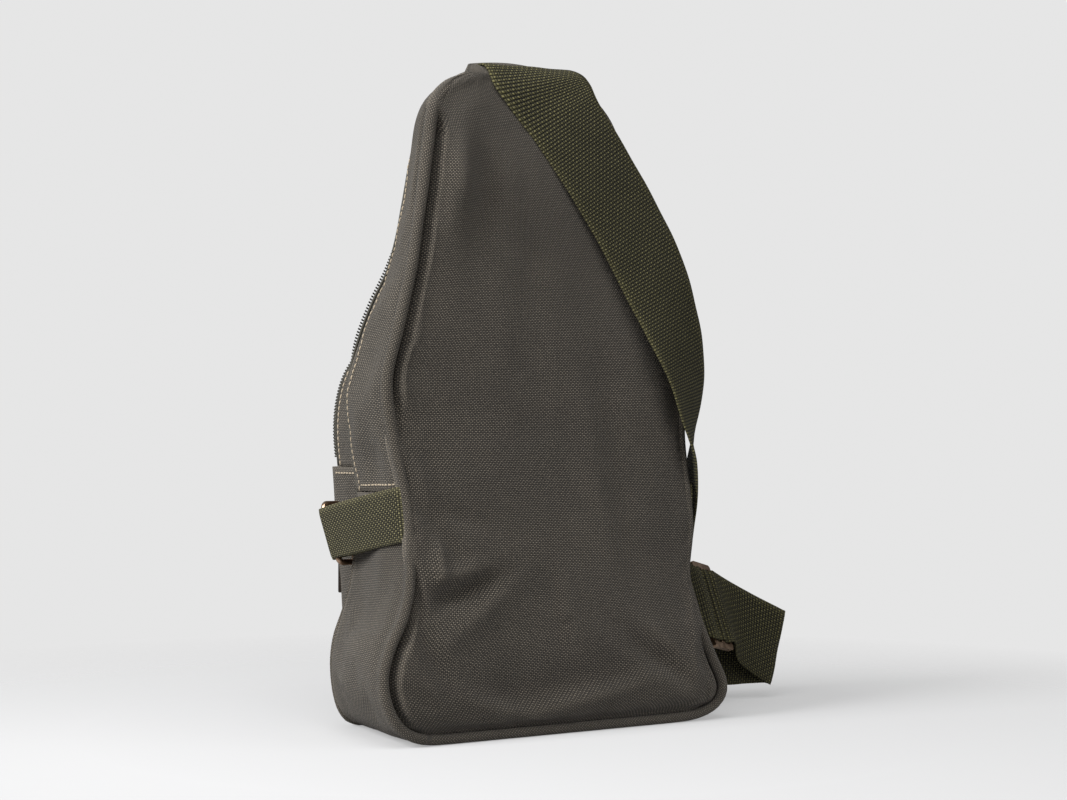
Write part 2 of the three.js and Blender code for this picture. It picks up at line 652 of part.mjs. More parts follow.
// A flat frame with level slots, a row each, in its own plane: x along the slots, y across them.
function frameShape(slotLength, slots, height, corner) {
  const halfLong = slotLength / 2 + frameBar;
  const shape = new THREE.Shape();
  roundedPath(shape, -halfLong, -height / 2, halfLong, height / 2, corner);
  for (const y of slots) {
    const hole = new THREE.Path();
    roundedPath(hole, -slotLength / 2, y - sliderSlot / 2, slotLength / 2, y + sliderSlot / 2, corner / 3);
    shape.holes.push(hole);
  }
  return shape;
}

function roundedPath(path, x0, y0, x1, y1, r) {
  path.moveTo(x0 + r, y0);
  path.lineTo(x1 - r, y0);
  path.quadraticCurveTo(x1, y0, x1, y0 + r);
  path.lineTo(x1, y1 - r);
  path.quadraticCurveTo(x1, y1, x1 - r, y1);
  path.lineTo(x0 + r, y1);
  path.quadraticCurveTo(x0, y1, x0, y1 - r);
  path.lineTo(x0, y0 + r);
  path.quadraticCurveTo(x0, y0, x0 + r, y0);
}

function plate(shape, depth, curveSegments = 3) {
  const geometry = new THREE.ExtrudeGeometry(shape, { depth, bevelEnabled: false, curveSegments });
  return geometry.translate(0, 0, -depth / 2);
}

const slotLength = strapWidth + webbingSlack;
const barPitch = sliderSlot + frameBar;

function addSlider() {
  const shape = frameShape(slotLength, [-barPitch / 2, barPitch / 2], 2 * barPitch + frameBar, frameCorner);
  const z = sliderUpright.clone().cross(sliderRun).normalize();
  const frame = { origin: onBag(sliderPlace), x: sliderUpright, y: sliderRun, z };
  place("strap_slider", plate(shape, frameThickness), agedBrass, frame);
}

// The hook: a slotted eye for the strap and a closed loop, turned across it, round the ring's lower arm.
function hookFrame(ring) {
  const loopRadius = (hookEye + ringWire) / 2;
  const loop = ring.arm.clone().addScaledVector(Z, -(hookEye / 2 - ringWire / 2 - runningGap));
  const neck = frameBar * 2.6;
  const eye = loop.clone().addScaledVector(Z, -(loopRadius + neck / 2 + frameBar + sliderSlot / 2));
  const bar = eye.clone().addScaledVector(Z, -(sliderSlot + frameBar) / 2);
  return { loop, loopRadius, neck, eye, bar, x: hookLine, z: hookLine.clone().cross(Z).normalize() };
}

function addHook(ring) {
  const { loop, loopRadius, neck, eye, x, z } = hookFrame(ring);
  const basis = new THREE.Matrix4().makeBasis(x, Z, z).setPosition(eye);
  const eyeShape = frameShape(slotLength, [0], sliderSlot + 2 * frameBar, frameCorner);
  const eyeFrame = plate(eyeShape, frameThickness).applyMatrix4(basis);
  const top = (sliderSlot + 2 * frameBar) / 2;
  const stem = new THREE.BoxGeometry(frameBar * 2, neck, frameThickness);
  stem.translate(0, top + neck / 2 - frameBar / 2, 0).applyMatrix4(basis);
  const ringLoop = new THREE.TorusGeometry(loopRadius, ringWire / 2, tubeSides, 18);
  const across = squareTo(ring.reach, Z);
  const turned = new THREE.Matrix4().makeBasis(Z.clone().cross(across), Z, across).setPosition(loop);
  ringLoop.applyMatrix4(turned);
  place("strap_hook", joined(eyeFrame, stem, ringLoop), agedBrass);
}

// The shoulder strap in one length: over the top, down the back and side, woven through the slider, folded
// at the crease and back to the hook, where its end turns round the eye.
function addStrap(ring) {
  const rows = strapRows.map((row) => ribbonRow(onBag(row), v3(...row.w), strapWidth * row.spread));
  const off = sliderRun.clone().cross(sliderUpright).normalize();
  const ride = frameThickness / 2 + webbing / 2 + 2 * runningGap;
  const centre = onBag(sliderPlace);
  const weave = [
    [-1.4, 0.8],
    [-1, 1],
    [-0.74, 0.9],
    [-0.5, 0],
    [-0.26, -0.9],
    [0, -1],
    [0.26, -0.9],
    [0.5, 0],
    [0.74, 0.9],
    [1, 1],
    [1.4, 0.8],
  ];
  for (const [run, rise] of weave) {
    const p = centre.clone().addScaledVector(sliderRun, run * barPitch).addScaledVector(off, rise * ride);
    rows.push(ribbonRow(p, sliderUpright, strapWidth));
  }
  rows.push(ribbonRow(onBag(loopPlace), sliderUpright.clone().lerp(creaseLine, 0.6), strapWidth));
  const crease = onBag(creasePlace);
  const outward = creaseLine.clone().cross(Y).normalize();
  for (const p of halfTurn(crease, Y, outward, creaseRadius)) rows.push(ribbonRow(p, creaseLine, strapWidth));
  for (const row of returnRows) rows.push(ribbonRow(onBag(row), v3(...row.w), strapWidth));
  const { bar, z } = hookFrame(ring);
  const radius = Math.hypot(frameBar, frameThickness) / 2 + webbing / 2 + runningGap;
  const away = z.x < 0 ? z : z.clone().negate();
  for (const p of halfTurn(bar, away, Z, radius)) rows.push(ribbonRow(p, hookLine, strapWidth));
  const tail = bar.clone().addScaledVector(away, -radius).addScaledVector(Z, -strapTail);
  rows.push(ribbonRow(tail, hookLine, strapWidth));
  place("shoulder_strap", sheet(rows, webbing), webbingCloth);
}

// A zip slider on its coil, in a frame with x along the zip, y across it and z outwards from the coil.
function sliderGeometry() {
  const body = new THREE.BoxGeometry(sliderLength, sliderBreadth, sliderPlate).translate(0, 0, sliderPlate / 2);
  const high = sliderPlate + bridgeWindow + bridgeWire;
  const shape = new THREE.Shape();
  roundedPath(shape, -bridgeLength / 2, sliderPlate / 2, bridgeLength / 2, high, bridgeWire);
  const hole = new THREE.Path();
  const inside = bridgeLength / 2 - bridgeWire;
  roundedPath(hole, -inside, sliderPlate, inside, sliderPlate + bridgeWindow, bridgeWire / 3);
  shape.holes.push(hole);
  const bridge = plate(shape, bridgeBreadth).rotateX(Math.PI / 2);
  return joined(body, bridge);
}

// A flat pull with a slot that its crossbar closes: the crossbar turns in the slider's bridge.
function pullGeometry() {
  const bar = pullThickness / 2;
  const slotEnd = Math.hypot(bridgeLength / 2, bridgeWindow / 2 + bridgeWire) + 2 * runningGap;
  const shape = new THREE.Shape();
  roundedPath(shape, -pullLength, -pullWidth / 2, bar, pullWidth / 2, pullCorner);
  const hole = new THREE.Path();
  const half = bridgeBreadth / 2 + runningGap;
  roundedPath(hole, -slotEnd, -half, -bar, half, 0.3);
  shape.holes.push(hole);
  return plate(shape, pullThickness);
}

// A narrow pull with a round eye that hangs on the bridge and swings about it.
function eyePullGeometry() {
  const inner = Math.hypot(bridgeWire, bridgeBreadth) / 2 + runningGap;
  const outer = inner + eyeWire;
  const eye = new THREE.Shape();
  eye.absarc(0, 0, outer, 0, 2 * Math.PI);
  const hole = new THREE.Path();
  hole.absarc(0, 0, inner, 0, 2 * Math.PI);
  eye.holes.push(hole);
  const blade = new THREE.Shape();
  roundedPath(blade, inner + eyeWire / 2, -facePullWidth / 2, pullLength, facePullWidth / 2, pullCorner);
  return joined(plate(eye, pullThickness, 8), plate(blade, pullThickness));
}

// A slider and its pull on a zip. at: point of the tape's middle, with along, across and out.
function addZipSlider(name, at, hangs) {
  const base = tape / 2 + coilGap + coilHeight + coilGap;
  const origin = at.p.clone().addScaledVector(at.out, base);
  const x = at.along.clone();
  const z = at.out.clone();
  const y = z.clone().cross(x).normalize();
  place(name + "_slider", sliderGeometry(), darkMetal, { origin, x, y, z });
  if (hangs) {
    const pivot = origin.clone().addScaledVector(z, sliderPlate + bridgeWindow + bridgeWire / 2);
    const down = squareTo(Z.clone().negate(), x);
    place(name + "_pull", eyePullGeometry(), darkMetal, { origin: pivot, x: down, y: x.clone().cross(down), z: x });
    return;
  }
  const pivot = origin.clone().addScaledVector(z, sliderPlate + bridgeWindow / 2);
  place(name + "_pull", pullGeometry(), darkMetal, { origin: pivot, x, y, z });
}

function addZipSliders() {
  const bodyUps = upsFrom(tableUps, zipEndUp, 1);
  const body = outline(gussetFront, bodyUps, { crown: topCrown, closed: false });
  const mainRow = body.length - 1 - nearest(bodyUps, mainSliderUp);
  addZipSlider("main_zip", upwards(zipMiddle(body, mainRow, zipWidth, zipTurn)), false);
  const archUps = upsFrom(pocketUps, pocketSeamUp + seamGap / pocketHeight / 2, 1);
  const arch = outline(pocketEdge, archUps, { crown: 1, closed: false });
  arch.forEach((s) => s.p.setY(s.p.y + pocketZipSide));
  const pocketRow = arch.length - 1 - nearest(archUps, pocketSliderUp);
  addZipSlider("pocket_zip", upwards(zipMiddle(arch, pocketRow, pocketZipReach, pocketZipSide - 1)), false);
  const [low, high] = faceGrid([faceZipLow, faceZipHigh], () => faceCoilInset);
  const outer = low[0].clone().lerp(high[0], 0.5);
  const inner = low[1].clone().lerp(high[1], 0.5);
  const along = outer.clone().sub(inner).normalize();
  const out = along.clone().cross(high[0].clone().sub(low[0])).normalize();
  addZipSlider("face_zip", { p: outer.addScaledVector(along, -faceSliderInset), along, out }, true);
}

// Number of the table height that is nearest to a given one, never the first or the last.
function nearest(ups, up) {
  const inner = ups.slice(1, -1);
  const far = inner.map((value) => Math.abs(value - up));
  return far.indexOf(Math.min(...far)) + 1;
}

const upwards = (at) => (at.along.z < 0 ? { ...at, along: at.along.negate() } : at);

addBack();
addGusset();
addMainZip();
addPocket();
addZipSliders();
addTab(1, "tab_left");
addTab(-1, "tab_right");
addRing(1, "ring_left", v3(-0.62, -0.45, 0.6));
const rightRing = addRing(-1, "ring_right", v3(-0.75, -0.62, -0.2));
addHook(rightRing);
addSlider();
addStrap(rightRing);

export default bag;
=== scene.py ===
import math

import bmesh
import bpy
import numpy as np
from mathutils import Matrix, Vector


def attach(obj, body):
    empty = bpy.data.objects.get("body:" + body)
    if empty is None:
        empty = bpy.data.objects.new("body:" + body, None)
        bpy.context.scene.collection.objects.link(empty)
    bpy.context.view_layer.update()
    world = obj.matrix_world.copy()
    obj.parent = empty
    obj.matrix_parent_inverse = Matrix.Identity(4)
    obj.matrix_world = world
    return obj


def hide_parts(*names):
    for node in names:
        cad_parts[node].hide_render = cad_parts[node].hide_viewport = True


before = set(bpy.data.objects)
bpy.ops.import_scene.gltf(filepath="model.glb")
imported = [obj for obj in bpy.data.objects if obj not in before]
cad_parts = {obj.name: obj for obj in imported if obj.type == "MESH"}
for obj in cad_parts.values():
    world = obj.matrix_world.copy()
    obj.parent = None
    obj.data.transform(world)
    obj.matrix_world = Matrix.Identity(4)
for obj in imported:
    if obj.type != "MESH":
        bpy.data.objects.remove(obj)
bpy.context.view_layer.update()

scene = bpy.context.scene
MM = 0.001
rng = np.random.default_rng(7)

# Driving sizes in millimetres, the same as the solids have
BODY_HEIGHT, BODY_WIDTH, BODY_DEPTH = 372, 230, 94
HALF_WIDTH = BODY_WIDTH / 2
TOP_CROWN = 3
CANVAS = 1.8
SEAM_GAP = 0.5
CORD_RADIUS, ROLL_RADIUS = 2.9, 3.4
GUSSET_SWELL = 3
GUSSET_SEAM_UP = 0.362
ZIP_WIDTH, ZIP_TURN, ZIP_END_UP = 10, 3, 0.3
TAPE = 1.2
COIL_WIDTH, COIL_HEIGHT, COIL_GAP = 5.6, 1.8, 0.3
POCKET_INSET, POCKET_HEIGHT, POCKET_FOOT, POCKET_DEPTH = 10.9, 220, 26, 43
POCKET_CROWN = 3
POCKET_SEAM_UP, POCKET_SIDE_UP = 0.56, 0.1
POCKET_ZIP_REACH, POCKET_ZIP_SIDE = 6, 9
FACE_ZIP_LOW, FACE_ZIP_HIGH = 0.335, 0.395
STRAP_WIDTH, TAB_WIDTH, WEBBING = 48, 30, 1.8
RING_WIRE, RING_DEPTH, WEBBING_SLACK = 3.4, 10, 2
FRAME_BAR, FRAME_THICKNESS, SLIDER_SLOT = 3.5, 3, 7
HOOK_EYE = 12
RUNNING_GAP = 0.4

# Spacing of the cloth meshes along the outlines, and steps over the top and along the base
LOOP_STEP, PANEL_STEP = 3.6, 4
TOP_STEPS, BASE_STEPS = 16, 50
EDGE_SAMPLES = 1200
SPLINE_STEPS = 16
TINY = 1e-9

# How far the front panel lies ahead of its seam below the zip, and the crown of the pocket's top
FRONT_STAND = 0.2
POCKET_TOP_CROWN = 1
POCKET_CENTRE = (0, 0, 130)

Y, Z = np.eye(3)[1:]


def rows(names, table):
    return [dict(zip(names, row)) for row in table]


BODY = rows(
    ("up", "left", "right", "back", "side", "tuck", "dip"),
    [
        (0.0, 0.78, 0.82, 0.485, 0.97, 0.13, 0),
        (0.012, 0.88, 0.95, 0.49, 0.97, 0.14, 0),
        (0.045, 0.965, 1.0, 0.495, 0.965, 0.155, 0),
        (0.09, 1.0, 0.935, 0.495, 0.945, 0.155, 0),
        (0.135, 0.96, 0.87, 0.48, 0.895, 0.12, 0),
        (0.18, 0.875, 0.83, 0.455, 0.82, 0.065, 0),
        (0.225, 0.83, 0.8, 0.43, 0.73, 0.03, 0),
        (0.3, 0.81, 0.85, 0.39, 0.635, 0.02, 0),
        (0.362, 0.825, 0.85, 0.355, 0.575, 0.02, 0),
        (0.44, 0.865, 0.845, 0.31, 0.53, 0.02, 0),
        (0.52, 0.885, 0.855, 0.275, 0.49, 0.02, 0),
        (0.6, 0.81, 0.8, 0.245, 0.44, 0.02, 0),
        (0.65, 0.758, 0.755, 0.222, 0.39, 0.03, 0),
        (0.7, 0.71, 0.71, 0.2, 0.32, 0.05, 0),
        (0.8, 0.64, 0.64, 0.16, 0.285, 0.06, 0),
        (0.88, 0.585, 0.585, 0.12, 0.26, 0.07, 0.002),
        (0.945, 0.525, 0.52, 0.075, 0.225, 0.08, 0.01),
        (0.98, 0.42, 0.42, 0.045, 0.2, 0.09, 0.022),
        (1.0, 0.27, 0.27, 0.02, 0.18, 0.1, 0.028),
    ],
)
POCKET = rows(
    ("up", "wide", "deep"),
    [
        (0.0, 0.8, 0.12),
        (0.03, 0.91, 0.14),
        (0.1, 0.985, 0.23),
        (0.2, 1.0, 0.46),
        (0.335, 1.0, 0.78),
        (0.395, 1.0, 0.88),
        (0.48, 1.0, 0.97),
        (0.56, 1.01, 1.0),
        (0.66, 1.03, 1.0),
        (0.74, 1.01, 1.0),
        (0.81, 0.955, 0.98),
        (0.87, 0.85, 0.93),
        (0.92, 0.7, 0.88),
        (0.96, 0.54, 0.83),
        (0.988, 0.34, 0.79),
        (1.0, 0.18, 0.77),
    ],
)
# across: share of half the width, out: share of the depth, up: share of the height, then the direction
# across the strap and its width as a share
STRAP = [
    (0.035, -0.15, 1.001, (-1, 0, 0.0), 1.2),
    (0.01, -0.06, 1.0175, (-1, -0.06, 0.02), 1.2),
    (-0.03, 0.032, 1.0245, (-1, -0.05, 0.06), 1.2),
    (-0.06, 0.126, 1.002, (-0.94, 0.08, 0.2), 1.2),
    (-0.13, 0.165, 0.972, (-0.87, 0.12, 0.4), 1.1),
    (-0.205, 0.2, 0.935, (-0.82, 0.12, 0.55), 1),
    (-0.36, 0.25, 0.863, (-0.83, 0.06, 0.56), 1),
    (-0.535, 0.285, 0.78, (-0.85, 0.04, 0.53), 1),
    (-0.683, 0.32, 0.694, (-0.89, 0, 0.45), 1),
    (-0.815, 0.35, 0.597, (-0.86, -0.27, 0.34), 1),
    (-0.885, 0.335, 0.538, (-0.84, -0.46, 0.21), 1),
    (-0.918, 0.305, 0.4825, (-0.77, -0.63, 0.1), 1),
    (-0.965, 0.25, 0.411, (-0.54, -0.84, 0.04), 1),
    (-1.025, 0.116, 0.336, (-0.45, -0.88, 0.05), 1),
    (-1.05, 0.0, 0.269, (-0.4, -0.86, 0.3), 1),
    (-1.1, -0.07, 0.215, (-0.28, -0.62, 0.72), 1),
    (-1.15, -0.045, 0.187, (-0.08, -0.42, 0.9), 1),
]
RETURN = [
    (-1.66, -0.195, 0.089, (-0.18, 0, 0.98)),
    (-1.53, -0.22, 0.089, (-0.06, 0.05, 0.99)),
    (-1.37, -0.275, 0.092, (0.1, 0.15, 0.98)),
    (-1.23, -0.34, 0.103, (0.25, 0.5, 0.82)),
    (-1.09, -0.4, 0.123, (0.26, 0.86, 0.42)),
    (-1.005, -0.435, 0.15, (0.14, 0.98, 0.12)),
]
# along: share of the way to the fold, off: share of the stand, then the direction across
TAB = [
    (0.0, 0.36, (-0.08, 0.06, -1)),
    (0.2, 0.62, (-0.04, 0.08, -1)),
    (0.45, 0.81, (-0.03, 0.14, -0.98)),
    (0.7, 0.945, (-0.06, 0.25, -0.96)),
    (0.9, 1.0, (-0.09, 0.34, -0.93)),
]
TAB_INNER = [
    (0.9, 0.48, (-0.09, 0.34, -0.93)),
    (0.68, 0.5, (-0.06, 0.25, -0.96)),
    (0.42, 0.53, (-0.03, 0.14, -0.98)),
]
TAB_STAND, TAB_FORWARD, TAB_DROOP, TAB_UP, TAB_TUCK = 11.1, 14.6, 12, 0.332, 0.66
TAB_LINE = (-0.1, 0.37, -0.92)


def unit(v):
    v = np.asarray(v, float)
    return v / np.linalg.norm(v)


def units(v):
    """Rows of the length 1."""
    return v / np.linalg.norm(v, axis=1)[:, None]


def running_length(points):
    """Length along a path up to each of its points."""
    return np.concatenate([[0], np.cumsum(np.linalg.norm(np.diff(points, axis=0), axis=1))])


def ramp(value, low, high):
    """From 0 at low to 1 at high, level at both ends."""
    t = np.clip((np.asarray(value) - low) / (high - low), 0, 1)
    return t * t * (3 - 2 * t)


def on_bag(across, out, up):
    return np.array([across * HALF_WIDTH, out * BODY_DEPTH, up * BODY_HEIGHT])


SLIDER_AT = on_bag(-1.319, -0.096, 0.164)
SLIDER_UP = unit((0, -0.43, 0.9))
SLIDER_RUN = unit((-0.897, -0.399, -0.19))
LOOP_AT = on_bag(-1.565, -0.155, 0.127)
CREASE_AT = on_bag(-1.779, -0.128, 0.0887)
CREASE_LINE = unit((-0.24, 0, 0.97))
CREASE_RADIUS = 2.4
HOOK_LINE = unit((0.06, 1, 0))
STRAP_TAIL = 16
RING_REACH = {1: (-0.62, -0.45, 0.6), -1: (-0.75, -0.62, -0.2)}


def column(table, name, up):
    """Value of a column at a height share, smooth between the rows."""
    i = 0
    while i < len(table) - 2 and table[i + 1]["up"] < up:
        i += 1
    a, b = table[i], table[i + 1]
    before, after = table[max(i - 1, 0)], table[min(i + 2, len(table) - 1)]
    span = b["up"] - a["up"]
    t = (up - a["up"]) / span
    slope_a = (b[name] - before[name]) / (b["up"] - before["up"])
    slope_b = (after[name] - a[name]) / (after["up"] - a["up"])
    h00, h10 = 2 * t**3 - 3 * t**2 + 1, t**3 - 2 * t**2 + t
    h01, h11 = -2 * t**3 + 3 * t**2, t**3 - t**2
    return h00 * a[name] + h10 * span * slope_a + h01 * b[name] + h11 * span * slope_b


def back_seam(side, up, foot):
    wide = column(BODY, "left" if side > 0 else "right", up)
    y = BODY_DEPTH * column(BODY, "back", up)
    return np.array([side * HALF_WIDTH * wide, y, foot + (BODY_HEIGHT - foot) * up])


def front_seam(side, up, foot):
    p = back_seam(side, up, foot)
    p[0] *= 1 - column(BODY, "tuck", up)
    p[1] -= BODY_DEPTH * column(BODY, "side", up)
    p[2] -= BODY_HEIGHT * column(BODY, "dip", up)
    return p


def back_edge(side, up):
    return back_seam(side, up, CORD_RADIUS)


def front_edge(side, up):
    return front_seam(side, up, CANVAS / 2)


def front_y(z):
    return front_seam(1, min(max(z / BODY_HEIGHT, 0), 1), 0)[1] - ZIP_TURN


def front_face(z):
    turned = FRONT_STAND - ZIP_TURN if z < ZIP_END_UP * BODY_HEIGHT - SEAM_GAP else 0
    return front_y(z) - CANVAS - SEAM_GAP - turned


HALF_POCKET = HALF_WIDTH * column(BODY, "left", GUSSET_SEAM_UP) - POCKET_INSET


def pocket_edge(side, up):
    z = POCKET_FOOT + POCKET_HEIGHT * up
    y = front_y(z) - POCKET_DEPTH * column(POCKET, "deep", up)
    return np.array([side * HALF_POCKET * column(POCKET, "wide", up), y, z])


def even_ups(edge, low, high, spacing):
    """Height shares whose points lie evenly along an edge."""
    ups = np.linspace(low, high, EDGE_SAMPLES)
    run = running_length(np.array([edge(1, up) for up in ups]))
    count = max(int(run[-1] / spacing), 2)
    return np.interp(np.linspace(0, run[-1], count + 1), run, ups)


def base_points(a, b):
    """Points along the base, without its two ends."""
    return [a + (b - a) * k / BASE_STEPS for k in range(1, BASE_STEPS)]


def outline(edge, ups, crown, closed):
    """Points and outward normals: up the left side, over the top, down the right side, along the base."""
    points = [edge(1, up) for up in ups]
    left, right = edge(1, ups[-1]), edge(-1, ups[-1])
    for k in range(1, TOP_STEPS):
        t = k / TOP_STEPS
        p = left + (right - left) * t
        p[2] += crown * 4 * t * (1 - t)
        points.append(p)
    points += [edge(-1, up) for up in ups[::-1]]
    if closed:
        points += base_points(edge(-1, ups[0]), edge(1, ups[0]))
    return with_normals(np.array(points), closed)


def with_normals(points, closed):
    if closed:
        along = np.roll(points, -1, 0) - np.roll(points, 1, 0)
    else:
        along = np.gradient(points, axis=0)
    along[:, 1] = 0
    along = units(along)
    return points, np.stack([along[:, 2], np.zeros(len(points)), -along[:, 0]], 1)


def smooth_noise(p, scale, seed):
    """A soft seeded wobble between about -1 and 1 for points in millimetres."""
    local = np.random.default_rng(seed)
    total = np.zeros(p.shape[:-1])
    for _ in range(7):
        direction = local.normal(size=3)
        direction /= np.linalg.norm(direction)
        wave = 2 * math.pi / (scale * local.uniform(0.7, 1.6))
        total += np.sin(p @ direction * wave + local.uniform(0, 6.28))
    return total / 4


def spline(points, spacing):
    """Smooth rows through a list of rows, evenly spaced by their first three values."""
    points = np.asarray(points, float)
    n = len(points)
    fine = []
    for i in range(n - 1):
        p0, p1, p2, p3 = (points[max(i - 1, 0)], points[i], points[i + 1], points[min(i + 2, n - 1)])
        for t in np.linspace(0, 1, SPLINE_STEPS, endpoint=False):
            square = (2 * p0 - 5 * p1 + 4 * p2 - p3) * t * t
            cube = (3 * p1 - p0 - 3 * p2 + p3) * t**3
            fine.append(0.5 * (2 * p1 + (p2 - p0) * t + square + cube))
    fine.append(points[-1])
    fine = np.array(fine)
    run = running_length(fine[:, :3])
    at = np.linspace(0, run[-1], max(int(run[-1] / spacing), 2) + 1)
    return np.stack([np.interp(at, run, fine[:, k]) for k in range(fine.shape[1])], 1)


def at_length(s, run, values):
    """Values at a length along a path, between its points."""
    return np.array([np.interp(s, run, values[:, k]) for k in range(3)])


# Building of meshes

def make(name, verts, faces, material, uvs=None):
    """A mesh object from points in millimetres. uvs: one pair for each point, in millimetres."""
    mesh = bpy.data.meshes.new(name)
    verts = np.asarray(verts, float) * MM
    mesh.from_pydata(verts.tolist(), [], [tuple(int(i) for i in f) for f in faces])
    if uvs is not None:
        layer = mesh.uv_layers.new(name="cloth")
        index = np.zeros(len(mesh.loops), int)
        mesh.loops.foreach_get("vertex_index", index)
        layer.data.foreach_set("uv", np.asarray(uvs, float)[index].ravel())
    mesh.materials.append(material)
    mesh.update()
    mesh.shade_smooth()
    obj = bpy.data.objects.new(name, mesh)
    scene.collection.objects.link(obj)
    return obj


def closed_mesh(name, verts, faces, material, uvs=None):
    """A mesh object with its faces turned outwards."""
    obj = make(name, verts, faces, material, uvs)
    bm = bmesh.new()
    bm.from_mesh(obj.data)
    bmesh.ops.recalc_face_normals(bm, faces=bm.faces)
    bm.to_mesh(obj.data)
    bm.free()
    return obj


def mesh_points(mesh):
    points = np.zeros(len(mesh.vertices) * 3)
    mesh.vertices.foreach_get("co", points)
    return points.reshape(-1, 3)


def grid_faces(n, m):
    corners = [i * m + j for i in range(n - 1) for j in range(m - 1)]
    return [(a, a + m, a + m + 1, a + 1) for a in corners]


def grid_normals(grid):
    n = np.cross(np.gradient(grid, axis=0), np.gradient(grid, axis=1))
    return n / np.maximum(np.linalg.norm(n, axis=2), TINY)[..., None]


def uv_rows(u, v):
    uu, vv = np.meshgrid(u, v, indexing="ij")
    return np.stack([uu.ravel(), vv.ravel()], 1)


def grid_uvs(grid):
    """Cloth coordinates in millimetres from the lengths along and across the grid."""
    along = np.linalg.norm(np.diff(grid, axis=0), axis=2).mean(1)
    across = np.linalg.norm(np.diff(grid, axis=1), axis=2).mean(0)
    return uv_rows(np.concatenate([[0], np.cumsum(along)]), np.concatenate([[0], np.cumsum(across)]))


def wall(name, outer, inner, material, uvs):
    """A closed wall between two grids of points."""
    n, m = outer.shape[:2]
    count = n * m
    faces = grid_faces(n, m)
    back = [tuple(i + count for i in reversed(f)) for f in faces]
    rim = []
    for i in range(n - 1):
        a, b = i * m, (i + 1) * m
        rim.append((a, a + count, b + count, b))
        rim.append((a + m - 1, b + m - 1, b + m - 1 + count, a + m - 1 + count))
    for j in range(m - 1):
        e = (n - 1) * m + j
        rim.append((j, j + 1, j + 1 + count, j + count))
        rim.append((e, e + count, e + 1 + count, e + 1))
    verts = np.concatenate([outer.reshape(-1, 3), inner.reshape(-1, 3)])
    return closed_mesh(name, verts, faces + back + rim, material, np.concatenate([uvs, uvs]))


def shell(name, grid, material, thickness, out):
    """A wall of cloth with the grid as its outer face, thickened away from the direction out."""
    normals = grid_normals(grid)
    if (normals * out).sum() < 0:
        normals = -normals
    return wall(name, grid, grid - normals * thickness, material, grid_uvs(grid))


def tube_mesh(points, radii, axes, sides, closed):
    """Vertices and faces of a round tube. axes: two arrays of directions across it."""
    n = len(points)
    angle = np.linspace(0, 2 * math.pi, sides, endpoint=False)
    a, b = axes
    radii = np.broadcast_to(radii, n)
    verts = (
        points[:, None]
        + a[:, None] * (np.cos(angle)[None, :, None] * radii[:, None, None])
        + b[:, None] * (np.sin(angle)[None, :, None] * radii[:, None, None])
    )
    faces = []
    for i in range(n if closed else n - 1):
        k = (i + 1) % n
        for j in range(sides):
            h = (j + 1) % sides
            faces.append((i * sides + j, k * sides + j, k * sides + h, i * sides + h))
    if not closed:
        faces.append(tuple(range(sides))[::-1])
        faces.append(tuple((n - 1) * sides + j for j in range(sides)))
    return verts.reshape(-1, 3), faces


# Stitches and zip teeth are small beads, each a few rings of this many points
BEAD_SIDES = 6


def bead_faces(start, rings):
    """Faces of a closed bead whose first point has the number start."""
    faces = []
    for i in range(rings - 1):
        a = start + i * BEAD_SIDES
        for k in range(BEAD_SIDES):
            h = (k + 1) % BEAD_SIDES
            faces.append((a + k, a + h, a + BEAD_SIDES + h, a + BEAD_SIDES + k))
    last = start + (rings - 1) * BEAD_SIDES
    faces.append(tuple(start + k for k in range(BEAD_SIDES)))
    faces.append(tuple(last + k for k in reversed(range(BEAD_SIDES))))
    return faces


# Materials

